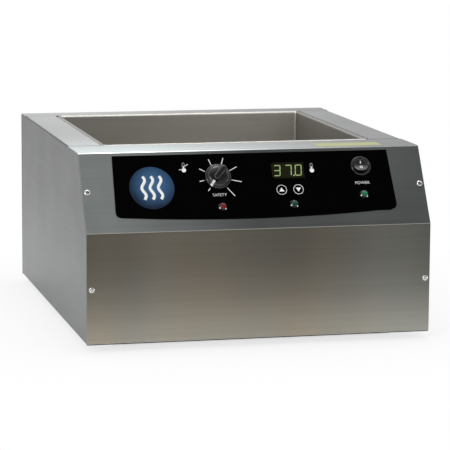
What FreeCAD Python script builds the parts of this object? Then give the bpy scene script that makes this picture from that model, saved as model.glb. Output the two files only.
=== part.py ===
import FreeCAD, Part

import math
import os

import Sketcher

# A bench-top bead bath: a folded stainless housing round a deep open tank.
# Millimetres. X runs to the right, the front faces -Y and Z points up. The origin lies on the
# bench, under the middle of the housing.

V = FreeCAD.Vector
X_AXIS = V(1, 0, 0)
Z_AXIS = V(0, 0, 1)

# Driving sizes, each with what it measures
SIZES = {
    "width": (381, "housing, side to side"),
    "depth": (444.5, "housing, lower front face to back wall"),
    "body_height": (200, "housing, underside to top"),
    "foot_height": (8, "bench to the housing's underside"),
    "sheet": (1.2, "housing sheet"),
    "bend_radius": (2.2, "outside of the housing's bends"),
    "fit_gap": (0.2, "clearance between neighbouring pieces"),
    "knee_height": (120, "underside to the bend between lower front face and slanted face"),
    "setback": (49, "how far the slanted face leans back"),
    "front_rim": (63, "top, slanted face to cut-out"),
    "back_rim": (34.5, "top, cut-out to back wall"),
    "side_band": (38, "top, side wall to cut-out"),
    "lip_drop": (9, "turned-down edge of the cut-out"),
    "return_width": (14, "folded flanges that the screws go into"),
    "tank_depth": (150, "rim to bottom, inside"),
    "tank_sheet": (1.0, "tank sheet"),
    "tank_corner": (3, "upright corners of the tank, inside"),
    "tank_bend": (2.5, "bends round the tank's floor, inside"),
    "hem_thickness": (2.2, "folded rim of the tank"),
    "hem_drop": (4.3, "height of the folded rim"),
    "hem_gap": (0.9, "folded rim to the cut-out's edge"),
    "rim_rise": (0.3, "tank rim above the housing's top"),
    "rail_width": (24, "crown of a tank rail"),
    "rail_flange": (12, "foot of a tank rail"),
    "rail_sheet": (1.2, "tank rail sheet"),
    "rail_offset": (112, "tank rail from the tank's middle"),
    "rail_inset": (12, "end of a tank rail from the tank's side"),
    "heater_width": (240, "heating mat, side to side"),
    "heater_depth": (150, "heating mat, front to back"),
    "heater_thickness": (2.5, "heating mat"),
    "insulation_thickness": (24, "insulation round the tank"),
    "insulation_drop": (12, "top of the insulation under the housing's top"),
    "overlay_side": (38, "control overlay, from the panel's side edges"),
    "overlay_below": (17.5, "control overlay, up from the lower bend"),
    "overlay_above": (4.6, "control overlay, down from the top bend"),
    "overlay_corner": (6, "lower corners of the overlay"),
    "overlay_thickness": (0.5, "control overlay"),
    "window_across": (39.5, "display window from the middle"),
    "window_up": (14, "display window above the overlay's middle"),
    "window_width": (33.5, "display window"),
    "window_height": (19.3, "display window"),
    "window_seat": (1.5, "ledge that the window is stuck to"),
    "key_up": (8.7, "arrow keys below the overlay's middle"),
    "up_key_across": (28.9, "up key from the middle"),
    "down_key_across": (47.7, "down key from the middle"),
    "key_hole": (8, "openings behind the keys"),
    "key_body": (6, "side of a key switch"),
    "key_plunger": (3.5, "plunger of a key switch"),
    "key_travel_room": (1.2, "plunger end behind the panel's back"),
    "board_width": (84, "control board"),
    "board_height": (54, "control board"),
    "board_thickness": (1.6, "control board"),
    "board_across": (46, "control board from the middle"),
    "board_up": (7, "control board above the overlay's middle"),
    "standoff_length": (13, "board pillars"),
    "standoff_width": (6, "board pillars"),
    "standoff_inset": (4.5, "board pillars from the board's edges"),
    "module_width": (42, "display module"),
    "module_height": (25, "display module"),
    "dial_across": (-41.2, "safety dial from the middle"),
    "dial_up": (7.7, "safety dial above the overlay's middle"),
    "knob_diameter": (29, "knob skirt"),
    "knob_skirt": (4.2, "knob skirt"),
    "knob_height": (15.5, "knob, skirt to top of grip"),
    "knob_grip": (8, "width of the knob's grip"),
    "knob_crown": (24, "round part under the grip"),
    "knob_crown_height": (7.5, "round part under the grip"),
    "knob_lift": (0.6, "knob above the overlay"),
    "knob_hollow": (19, "room for the nut under the knob"),
    "knob_wall": (1.8, "knob, roof over the room for the nut"),
    "dial_rest_angle": (40, "grip from upright, clockwise, at the lowest setting"),
    "shaft_diameter": (6, "thermostat shaft"),
    "shaft_reach": (9.5, "shaft inside the knob's grip"),
    "shaft_bury": (11, "shaft inside the thermostat"),
    "shaft_play": (0.05, "shaft in its bushing, on the radius"),
    "bushing_diameter": (9.5, "thermostat bushing"),
    "bushing_hole": (10, "opening for the bushing"),
    "nut_across_flats": (14, "bushing nut"),
    "nut_thickness": (2.4, "bushing nut"),
    "thermostat_width": (44, "thermostat housing"),
    "thermostat_height": (36, "thermostat housing"),
    "thermostat_thickness": (26, "thermostat housing"),
    "bulb_diameter": (6, "thermostat bulb"),
    "bulb_length": (80, "thermostat bulb"),
    "bulb_offset": (87, "bulb and probe from the tank's middle"),
    "capillary_diameter": (1.6, "capillary tube"),
    "capillary_side": (14, "capillary tube, left of the thermostat's shaft"),
    "capillary_bend": (7, "bends of the capillary tube"),
    "probe_length": (36, "temperature probe"),
    "clip_sheet": (0.8, "clips under the tank"),
    "clip_width": (12, "clips under the tank"),
    "clip_flange": (6, "clips under the tank, each side"),
    "switch_inset": (31.8, "power switch from the overlay's right edge"),
    "switch_up": (16.6, "power switch above the overlay's middle"),
    "switch_hole": (20, "opening for the power switch"),
    "switch_bezel": (22.6, "bezel of the power switch"),
    "bezel_thickness": (2.0, "bezel of the power switch"),
    "well_diameter": (17.2, "round well of the power switch"),
    "well_depth": (9, "round well of the power switch"),
    "switch_depth": (20, "switch body behind the panel"),
    "rocker_diameter": (15.8, "rocker, ends"),
    "rocker_length": (14.6, "rocker, along its travel"),
    "rocker_crown": (3.0, "rocker ends above its pivot"),
    "rocker_dip": (1.6, "hollow of the rocker's top"),
    "rocker_skirt": (4.0, "rocker below its pivot"),
    "rocker_pin": (2.0, "pivot pin of the rocker"),
    "rocker_pin_reach": (0.9, "pin in the switch's wall"),
    "rocker_tilt": (10, "rocker from level, each way"),
    "lamp_hole": (8.2, "openings for the lamps"),
    "lamp_tail": (7.8, "lamp through the panel"),
    "lamp_dome": (9.6, "lens of a lamp"),
    "lamp_rise": (3.4, "lens above the overlay"),
    "lamp_collar": (11, "lamp holder behind the panel"),
    "lamp_length": (18, "lamp holder"),
    "safety_lamp_across": (-39.6, "red lamp from the middle"),
    "safety_lamp_up": (-26.4, "red lamp from the overlay's middle"),
    "heating_lamp_across": (40.1, "heating lamp from the middle"),
    "heating_lamp_up": (-25.7, "heating lamp from the overlay's middle"),
    "power_lamp_inset": (32.4, "power lamp from the overlay's right edge"),
    "power_lamp_up": (-16.5, "power lamp from the overlay's middle"),
    "screw_inset": (5.5, "housing screws from the side walls"),
    "upper_screw_up": (47.5, "upper front screws from the lower bend"),
    "lower_screw_height": (60, "lower front screws above the underside"),
    "rear_screw_height": (150, "upper rear screws above the underside"),
    "screw_head": (6.6, "housing screw heads"),
    "screw_head_height": (1.9, "housing screw heads"),
    "screw_shank": (3, "housing screw shanks"),
    "screw_length": (8, "housing screw shanks"),
    "screw_play": (0.15, "screws in their holes, on the radius"),
    "foot_inset": (48, "feet from the housing's faces"),
    "foot_top": (25, "foot against the base"),
    "foot_bottom": (20, "foot on the bench"),
    "foot_recess": (10, "recess for the foot's screw"),
    "foot_recess_depth": (3.8, "recess for the foot's screw"),
    "foot_screw_head": (8, "head of the foot's screw"),
    "foot_screw_head_height": (2.6, "head of the foot's screw"),
    "foot_screw_shank": (4, "shank of the foot's screw"),
    "foot_screw_stub": (5, "foot screw above the base plate"),
    "vent_length": (36, "ventilation slots"),
    "vent_width": (3.2, "ventilation slots"),
    "vent_pitch": (8, "ventilation slots"),
    "rear_vent_height": (120, "lowest rear slot above the underside"),
    "base_vent_offset": (60, "base slots in front of the middle"),
    "inlet_inset": (70.5, "power inlet from the left side wall"),
    "inlet_plate_width": (50, "flange of the power inlet"),
    "inlet_plate_height": (24, "flange of the power inlet"),
    "inlet_plate": (2.8, "flange of the power inlet"),
    "inlet_body_width": (27.4, "power inlet through the back wall"),
    "inlet_body_height": (20.2, "power inlet through the back wall"),
    "inlet_body_depth": (19, "power inlet behind its flange"),
    "inlet_well_width": (24.2, "socket of the power inlet"),
    "inlet_well_height": (16.4, "socket of the power inlet"),
    "inlet_well_depth": (17, "socket of the power inlet"),
    "inlet_well_corner": (4.5, "sloping corners of the socket"),
    "inlet_screw_pitch": (40, "screws of the power inlet"),
    "blade_thickness": (2, "contact blades"),
    "blade_height": (4, "contact blades"),
    "blade_length": (14, "contact blades in the socket"),
    "blade_spread": (7, "outer contact blades from the middle"),
    "blade_drop": (2, "outer contact blades below the middle"),
    "blade_rise": (3.4, "earth blade above the middle"),
    "blade_tab": (7, "contact blades behind the inlet"),
    "relay_width": (45, "relay"),
    "relay_length": (58, "relay"),
    "relay_height": (23, "relay"),
    "relay_across": (70, "relay from the middle"),
    "terminal_width": (60, "terminal block"),
    "terminal_depth": (20, "terminal block"),
    "terminal_height": (15, "terminal block"),
    "terminal_across": (-70, "terminal block from the middle"),
    "front_bay": (48, "relay and terminal block from the lower front face"),
}

VENT_COUNT = 6
BLADE_SIDES = (-1, 0, 1)
HANDS = {"left": -1, "right": 1}
CORNERS = {
    "front_left": (-1, -1),
    "front_right": (1, -1),
    "rear_left": (-1, 1),
    "rear_right": (1, 1),
}

# Shares of a piece's own size that its bevels and tapers take
SCREW_FLAT = 0.7
KNOB_BEVEL = 0.3
CROWN_TAPER = 0.94
SKIRT_TAPER = 0.55
LENS_WALL = 0.35
LENS_SHOULDER = 0.85
LENS_SHOULDER_RADIUS = 0.75
LENS_FLAT = 0.35

# Planes and levels that several pieces share, in terms of the sizes
UNDER = "Sizes.foot_height"
KNEE = "(Sizes.foot_height + Sizes.knee_height)"
TOP = "(Sizes.foot_height + Sizes.body_height)"
SIDE = "(Sizes.width / 2)"
FRONT = "(-Sizes.depth / 2)"
BACK = "(Sizes.depth / 2)"
RISE = "(Sizes.body_height - Sizes.knee_height)"
LEAN = f"atan(Sizes.setback / {RISE})"
STEEPNESS = f"atan({RISE} / Sizes.setback)"
SLANT = f"sqrt(Sizes.setback ^ 2 + {RISE} ^ 2)"
CUT_FRONT = f"({FRONT} + Sizes.setback + Sizes.front_rim)"
CUT_BACK = f"({BACK} - Sizes.back_rim)"
CUT_SIDE = f"({SIDE} - Sizes.side_band)"
SKIN = "(Sizes.sheet + Sizes.fit_gap)"
PLATE_TOP = f"({UNDER} + 2 * Sizes.sheet)"
TANK_Y = f"(({CUT_FRONT} + {CUT_BACK}) / 2)"
RIM = f"({TOP} + Sizes.rim_rise)"
TANK_SIDE = f"({CUT_SIDE} - Sizes.hem_gap - Sizes.hem_thickness)"
TANK_REACH = f"(({CUT_BACK} - {CUT_FRONT}) / 2 - Sizes.hem_gap - Sizes.hem_thickness)"
TANK_UNDER = f"({RIM} - Sizes.tank_depth - Sizes.tank_sheet)"
OVERLAY_UP = f"((Sizes.overlay_below + {SLANT} - Sizes.overlay_above) / 2)"
OVERLAY_SIDE = f"({SIDE} - Sizes.overlay_side)"
OVERLAY_REACH = f"(({SLANT} - Sizes.overlay_below - Sizes.overlay_above) / 2)"
BOARD_FACE = "(-Sizes.sheet - Sizes.standoff_length)"
INSULATION_LOW = f"({TANK_UNDER} + Sizes.tank_corner)"
INLET_X = f"(Sizes.inlet_inset - {SIDE})"
INLET_Z = f"(({PLATE_TOP} + {INSULATION_LOW}) / 2)"
FOOT_X = f"({SIDE} - Sizes.foot_inset)"
FOOT_Y = f"({BACK} - Sizes.foot_inset)"
RETURN_END = f"({SIDE} - Sizes.return_width - 2 * Sizes.fit_gap)"
LIP_END = f"({CUT_SIDE} - Sizes.fit_gap)"
SWITCH_ACROSS = f"({OVERLAY_SIDE} - Sizes.switch_inset)"
POWER_LAMP_ACROSS = f"({OVERLAY_SIDE} - Sizes.power_lamp_inset)"
VENT_RUN = f"{VENT_COUNT - 1} * Sizes.vent_pitch"

document = FreeCAD.newDocument("BeadBath")
sheet = document.addObject("Spreadsheet::Sheet", "Sizes")
pieces = []


def fill_sheet():
    """Writes every driving size into the spreadsheet, with its name and meaning."""
    for row, (name, (value, meaning)) in enumerate(SIZES.items(), start=1):
        sheet.set(f"A{row}", name)
        sheet.set(f"B{row}", str(value))
        sheet.set(f"C{row}", meaning)
        sheet.setAlias(f"B{row}", name)
    document.recompute()


def size(formula):
    """Gives the present value of a formula as a plain number."""
    value = sheet.evalExpression(formula)
    return float(getattr(value, "Value", value))


def bind(thing, **formulas):
    """Ties properties to formulas; a double underscore stands for the dot in a property's path."""
    for path, formula in formulas.items():
        thing.setExpression(path.replace("__", "."), formula)


def register(thing, label):
    """Names a finished piece and puts it on the list of pieces."""
    thing.Label = label
    pieces.append(thing)
    return thing


# Sketches


def origin_plane(body, role):
    """Finds one of the body's own origin planes."""
    return next(item for item in body.Origin.OriginFeatures if item.Role == role)


def new_sketch(body, name, role, level="0"):
    """Starts a sketch on an origin plane, moved along the plane's normal to the level."""
    sketch = body.newObject("Sketcher::SketchObject", name)
    sketch.AttachmentSupport = [(origin_plane(body, role), "")]
    sketch.MapMode = "FlatFace"
    bind(sketch, AttachmentOffset__Base__z=level)
    return sketch


def slanted_sketch(body, name):
    """Starts a sketch on the slanted face, with its origin in the middle of the lower bend."""
    sketch = new_sketch(body, name, "XY_Plane")
    sketch.AttachmentOffset = FreeCAD.Placement(V(), FreeCAD.Rotation(X_AXIS, 1))
    bind(
        sketch,
        AttachmentOffset__Base__y=FRONT,
        AttachmentOffset__Base__z=KNEE,
        AttachmentOffset__Rotation__Angle=STEEPNESS,
    )
    return sketch


def hold(sketch, kind, geometry, point, formula):
    """Sets one coordinate of a point from the sketch's origin."""
    index = sketch.addConstraint(Sketcher.Constraint(kind, -1, 1, geometry, point, size(formula)))
    sketch.setExpression(f"Constraints[{index}]", formula)


def polygon(sketch, corners):
    """Draws a closed outline through corners that are pairs of formulas."""
    first = sketch.GeometryCount
    count = len(corners)
    spots = [V(size(across), size(up), 0) for across, up in corners]
    for n in range(count):
        sketch.addGeometry(Part.LineSegment(spots[n], spots[(n + 1) % count]), False)
    for n in range(count):
        sketch.addConstraint(Sketcher.Constraint("Coincident", first + n, 2, first + (n + 1) % count, 1))
    for n, (across, up) in enumerate(corners):
        hold(sketch, "DistanceX", first + n, 1, across)
        hold(sketch, "DistanceY", first + n, 1, up)
    return sketch


def rectangle(sketch, left, right, low, high):
    """Draws a rectangle between four formulas."""
    return polygon(sketch, [(left, low), (right, low), (right, high), (left, high)])


def circle(sketch, across, up, diameter):
    """Draws a circle."""
    middle = V(size(across), size(up), 0)
    index = sketch.addGeometry(Part.Circle(middle, Z_AXIS, size(diameter) / 2), False)
    hold(sketch, "DistanceX", index, 3, across)
    hold(sketch, "DistanceY", index, 3, up)
    rule = sketch.addConstraint(Sketcher.Constraint("Diameter", index, size(diameter)))
    sketch.setExpression(f"Constraints[{rule}]", diameter)
    return sketch


def slot(sketch, across, up, length, width):
    """Draws a slot with round ends, along the sketch's first axis."""
    x, y, r = size(across), size(up), size(width) / 2
    run = (size(length) - size(width)) / 2
    left, right = V(x - run, y, 0), V(x + run, y, 0)
    quarter = math.pi / 2
    a = sketch.addGeometry(Part.ArcOfCircle(Part.Circle(left, Z_AXIS, r), quarter, 3 * quarter), False)
    b = sketch.addGeometry(Part.ArcOfCircle(Part.Circle(right, Z_AXIS, r), -quarter, quarter), False)
    low = sketch.addGeometry(Part.LineSegment(V(x - run, y - r, 0), V(x + run, y - r, 0)), False)
    high = sketch.addGeometry(Part.LineSegment(V(x + run, y + r, 0), V(x - run, y + r, 0)), False)
    for one, end, other, start in ((a, 2, low, 1), (low, 2, b, 1), (b, 2, high, 1), (high, 2, a, 1)):
        sketch.addConstraint(Sketcher.Constraint("Tangent", one, end, other, start))
    sketch.addConstraint(Sketcher.Constraint("Equal", a, b))
    hold(sketch, "DistanceX", a, 3, f"({across}) - (({length}) - ({width})) / 2")
    hold(sketch, "DistanceX", b, 3, f"({across}) + (({length}) - ({width})) / 2")
    hold(sketch, "DistanceY", a, 3, up)
    hold(sketch, "DistanceY", b, 3, up)
    rule = sketch.addConstraint(Sketcher.Constraint("Radius", a, r))
    sketch.setExpression(f"Constraints[{rule}]", f"({width}) / 2")
    return sketch


def round_rectangle(sketch, x, y, radius):
    """Draws a rectangle with four equal round corners between two pairs of formulas."""
    r, quarter = size(radius), math.pi / 2
    left, right = f"({x[0]}) + {radius}", f"({x[1]}) - {radius}"
    low, high = f"({y[0]}) + {radius}", f"({y[1]}) - {radius}"
    middles = [(right, high), (left, high), (left, low), (right, low)]
    spots = [V(size(across), size(up), 0) for across, up in middles]
    arcs = []
    for n, spot in enumerate(spots):
        arc = Part.ArcOfCircle(Part.Circle(spot, Z_AXIS, r), n * quarter, (n + 1) * quarter)
        arcs.append(sketch.addGeometry(arc, False))
    for n in range(4):
        out = V(math.cos((n + 1) * quarter), math.sin((n + 1) * quarter), 0) * r
        after = (n + 1) % 4
        line = sketch.addGeometry(Part.LineSegment(spots[n] + out, spots[after] + out), False)
        sketch.addConstraint(Sketcher.Constraint("Tangent", arcs[n], 2, line, 1))
        sketch.addConstraint(Sketcher.Constraint("Tangent", line, 2, arcs[after], 1))
    for n, (across, up) in enumerate(middles):
        hold(sketch, "DistanceX", arcs[n], 3, across)
        hold(sketch, "DistanceY", arcs[n], 3, up)
        if n:
            sketch.addConstraint(Sketcher.Constraint("Equal", arcs[0], arcs[n]))
    rule = sketch.addConstraint(Sketcher.Constraint("Radius", arcs[0], r))
    sketch.setExpression(f"Constraints[{rule}]", radius)
    return sketch


# Features


def new_body(label):
    """Starts a piece that is made of sketched features."""
    return register(document.addObject("PartDesign::Body", label), label)


def pad(body, name, sketch, length, reverse=False):
    """Adds material from a sketch."""
    feature = body.newObject("PartDesign::Pad", name)
    feature.Profile = sketch
    feature.Reversed = reverse
    bind(feature, Length=length)
    document.recompute()
    return feature


def pocket(body, name, sketch, length, reverse=False):
    """Removes material from a sketch, and makes sure that some went."""
    before = body.Shape.Volume
    feature = body.newObject("PartDesign::Pocket", name)
    feature.Profile = sketch
    feature.Reversed = reverse
    bind(feature, Length=length)
    document.recompute()
    if not feature.Shape.Volume < before:
        raise RuntimeError(f"{body.Label}: {name} removes nothing")
    return feature


def repeat(body, name, feature, direction, length, count):
    """Repeats a feature in a row along one of its sketch's axes."""
    row = body.newObject("PartDesign::LinearPattern", name)
    row.Originals = [feature]
    row.Direction = (feature.Profile[0], [direction])
    row.Occurrences = count
    bind(row, Length=length)
    body.Tip = row
    document.recompute()
    return row


def straight_edges(feature, axis, **places):
    """Names the straight edges along an axis that lie at the given places of the other axes."""
    names = []
    for number, edge in enumerate(feature.Shape.Edges, start=1):
        box = edge.BoundBox
        spans = {"x": (box.XMin, box.XMax), "y": (box.YMin, box.YMax), "z": (box.ZMin, box.ZMax)}
        run = spans[axis][1] - spans[axis][0]
        if run < 0.5 or abs(edge.Length - run) > 0.01:
            continue
        if all(abs(end - size(place)) < 0.01 for key, place in places.items() for end in spans[key]):
            names.append(f"Edge{number}")
    return names


def edges_between(feature, start, end):
    """Names the edges that run between two places."""
    places = [V(*[size(formula) for formula in spot]) for spot in (start, end)]
    names = []
    for number, edge in enumerate(feature.Shape.Edges, start=1):
        ends = [vertex.Point for vertex in edge.Vertexes]
        if len(ends) == 2 and all(min(place.distanceToPoint(one) for one in ends) < 0.01 for place in places):
            names.append(f"Edge{number}")
    return names


def fillet(body, name, feature, names, radius):
    """Rounds edges of the last feature."""
    if not names:
        raise RuntimeError(f"{body.Label}: {name} finds no edge")
    rounding = body.newObject("PartDesign::Fillet", name)
    rounding.Base = (feature, names)
    bind(rounding, Radius=radius)
    document.recompute()
    if "Invalid" in rounding.State:
        raise RuntimeError(f"{body.Label}: {name} can't be rounded")
    return rounding


def revolved(body, name, sketch, axis="V_Axis"):
    """Turns a sketch once round one of its axes."""
    feature = body.newObject("PartDesign::Revolution", name)
    feature.Profile = sketch
    feature.ReferenceAxis = (sketch, [axis])
    feature.Angle = 360
    document.recompute()
    return feature


# Simple solids


def slab(label, width, height, low, high):
    """Makes a flat piece, drawn about its middle, between two levels."""
    body = new_body(label)
    outline = new_sketch(body, f"{label}_outline", "XY_Plane", low)
    rectangle(outline, f"-{width} / 2", f"{width} / 2", f"-{height} / 2", f"{height} / 2")
    pad(body, f"{label}_block", outline, f"({high}) - ({low})")
    return body


def block(name, x, y, z):
    """Makes a box between three pairs of formulas."""
    solid = document.addObject("Part::Box", name)
    bind(solid, Length=f"({x[1]}) - ({x[0]})", Width=f"({y[1]}) - ({y[0]})", Height=f"({z[1]}) - ({z[0]})")
    bind(solid, Placement__Base__x=x[0], Placement__Base__y=y[0], Placement__Base__z=z[0])
    return solid


def drum(name, diameter, low, high, x="0", y="0"):
    """Makes a cylinder along Z between two levels."""
    solid = document.addObject("Part::Cylinder", name)
    bind(solid, Radius=f"({diameter}) / 2", Height=f"({high}) - ({low})")
    bind(solid, Placement__Base__x=x, Placement__Base__y=y, Placement__Base__z=low)
    return solid


def rod(name, diameter, middle, length, y, z):
    """Makes a cylinder along X about its middle."""
    solid = document.addObject("Part::Cylinder", name)
    bind(solid, Radius=f"({diameter}) / 2", Height=length)
    solid.Placement = FreeCAD.Placement(V(), FreeCAD.Rotation(V(0, 1, 0), 90))
    bind(solid, Placement__Base__x=f"({middle}) - ({length}) / 2", Placement__Base__y=y, Placement__Base__z=z)
    return solid


def cut(name, base, tool):
    """Takes one solid out of another."""
    result = document.addObject("Part::Cut", name)
    result.Base = base
    result.Tool = tool
    return result


def fuse(name, *solids):
    """Joins solids."""
    result = document.addObject("Part::MultiFuse", name)
    result.Shapes = list(solids)
    return result


def common(name, *solids):
    """Keeps what solids share."""
    result = document.addObject("Part::MultiCommon", name)
    result.Shapes = list(solids)
    return result


def seat_on_slant(piece, across, up, out="0"):
    """Moves a piece drawn flat, with Z outwards, to a place on the slanted face."""
    piece.Placement = FreeCAD.Placement(V(), FreeCAD.Rotation(X_AXIS, 1))
    bind(
        piece,
        Placement__Rotation__Angle=STEEPNESS,
        Placement__Base__x=across,
        Placement__Base__y=f"{FRONT} + ({up}) * sin({LEAN}) - ({out}) * cos({LEAN})",
        Placement__Base__z=f"{KNEE} + ({up}) * cos({LEAN}) + ({out}) * sin({LEAN})",
    )
    return piece


def up_from_middle(rise):
    """Gives the height on the slanted face of a place measured from the overlay's middle."""
    return f"({OVERLAY_UP} + ({rise}))"


LAMP_SPOTS = {
    "safety_lamp": ("Sizes.safety_lamp_across", "Sizes.safety_lamp_up"),
    "heating_lamp": ("Sizes.heating_lamp_across", "Sizes.heating_lamp_up"),
    "power_lamp": (POWER_LAMP_ACROSS, "Sizes.power_lamp_up"),
}
LAMPS = {name: (across, up_from_middle(rise)) for name, (across, rise) in LAMP_SPOTS.items()}
KEYS = {
    "up_key": ("Sizes.up_key_across", up_from_middle("-Sizes.key_up")),
    "down_key": ("Sizes.down_key_across", up_from_middle("-Sizes.key_up")),
}
DIAL = ("Sizes.dial_across", up_from_middle("Sizes.dial_up"))
SWITCH = (SWITCH_ACROSS, up_from_middle("Sizes.switch_up"))
WINDOW = ("Sizes.window_across", up_from_middle("Sizes.window_up"))
BOARD = ("Sizes.board_across", up_from_middle("Sizes.board_up"))
SCREW_X = f"({SIDE} - Sizes.screw_inset)"
LOWER_SCREW_Z = f"({UNDER} + Sizes.lower_screw_height)"
UPPER_REAR_SCREW_Z = f"({UNDER} + Sizes.rear_screw_height)"


def mirrored(hand, formula):
    """Puts a distance from the middle on the left or the right."""
    return f"({hand} * ({formula}))"


# The folded housing


def slant_at(offset, level):
    """Gives the slanted face's Y at a level, moved inwards square to the face by the offset."""
    return f"({FRONT} + ({offset}) / cos({LEAN}) + (({level}) - {KNEE}) * Sizes.setback / {RISE})"


def knee_at(offset):
    """Gives the lower bend's corner, moved inwards from both faces by the offset."""
    return f"({FRONT} + ({offset}))", f"({KNEE} - ({offset}) * tan({LEAN} / 2))"


def trim_across(body, name, end, y, z):
    """Shortens a fold across the housing, so that it ends at a distance left and right of the middle."""
    for side, hand in HANDS.items():
        inner = mirrored(hand, end)
        outer = mirrored(hand, f"{SIDE} + Sizes.fit_gap")
        left, right = (outer, inner) if hand < 0 else (inner, outer)
        outline = new_sketch(body, f"{name}_{side}", "XY_Plane", z[1])
        rectangle(outline, left, right, y[0], y[1])
        pocket(body, f"{name}_{side}_trim", outline, f"({z[1]}) - ({z[0]})")


def front_panel():
    """Folds the front: rim, slanted face, lower face and bottom return, with the controls' openings."""
    body = new_body("front_panel")
    t = "Sizes.sheet"
    lip = f"({TOP} - Sizes.lip_drop)"
    return_end = f"({FRONT} + Sizes.return_width)"
    profile = new_sketch(body, "front_profile", "YZ_Plane", f"-{SIDE}")
    polygon(
        profile,
        [
            (FRONT, UNDER),
            (FRONT, KNEE),
            (f"{FRONT} + Sizes.setback", TOP),
            (CUT_FRONT, TOP),
            (CUT_FRONT, lip),
            (f"{CUT_FRONT} - {t}", lip),
            (f"{CUT_FRONT} - {t}", f"{TOP} - {t}"),
            (slant_at(t, f"{TOP} - {t}"), f"{TOP} - {t}"),
            knee_at(t),
            (f"{FRONT} + {t}", f"{UNDER} + {t}"),
            (return_end, f"{UNDER} + {t}"),
            (return_end, UNDER),
        ],
    )
    folded = pad(body, "front_sheet", profile, "Sizes.width")
    outer = straight_edges(folded, "x", y=FRONT, z=UNDER)
    outer += straight_edges(folded, "x", y=FRONT, z=KNEE)
    outer += straight_edges(folded, "x", y=f"{FRONT} + Sizes.setback", z=TOP)
    outer += straight_edges(folded, "x", y=CUT_FRONT, z=TOP)
    bends = fillet(body, "front_bends_outside", folded, outer, "Sizes.bend_radius")
    inner = straight_edges(bends, "x", y=f"{FRONT} + {t}", z=f"{UNDER} + {t}")
    inner += straight_edges(bends, "x", y=knee_at(t)[0], z=knee_at(t)[1])
    inner += straight_edges(bends, "x", y=slant_at(t, f"{TOP} - {t}"), z=f"{TOP} - {t}")
    inner += straight_edges(bends, "x", y=f"{CUT_FRONT} - {t}", z=f"{TOP} - {t}")
    fillet(body, "front_bends_inside", bends, inner, f"Sizes.bend_radius - {t}")
    room = f"({t} + Sizes.bend_radius)"
    low, high = (UNDER, f"{UNDER} + {room}"), (lip, f"{TOP} - {t}")
    trim_across(body, "front_return", RETURN_END, (f"{FRONT} + {t}", f"{return_end} + {t}"), low)
    trim_across(body, "front_lip", LIP_END, (f"{CUT_FRONT} - {room}", f"{CUT_FRONT} + {t}"), high)
    openings = slanted_sketch(body, "control_openings")
    for across, up in LAMPS.values():
        circle(openings, across, up, "Sizes.lamp_hole")
    for across, up in KEYS.values():
        circle(openings, across, up, "Sizes.key_hole")
    circle(openings, *DIAL, "Sizes.bushing_hole")
    circle(openings, *SWITCH, "Sizes.switch_hole")
    half_width = "(Sizes.window_width / 2 - Sizes.window_seat)"
    half_height = "(Sizes.window_height / 2 - Sizes.window_seat)"
    across, up = WINDOW
    left, right = f"{across} - {half_width}", f"{across} + {half_width}"
    rectangle(openings, left, right, f"{up} - {half_height}", f"{up} + {half_height}")
    screw_hole = "(Sizes.screw_shank + 2 * Sizes.screw_play)"
    for hand in HANDS.values():
        circle(openings, mirrored(hand, SCREW_X), "Sizes.upper_screw_up", screw_hole)
    pocket(body, "control_cuts", openings, f"2 * {t}")
    holes = new_sketch(body, "lower_screw_holes", "XZ_Plane", f"-{FRONT}")
    for hand in HANDS.values():
        circle(holes, mirrored(hand, SCREW_X), LOWER_SCREW_Z, screw_hole)
    pocket(body, "lower_screw_cuts", holes, f"2 * {t}")


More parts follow.
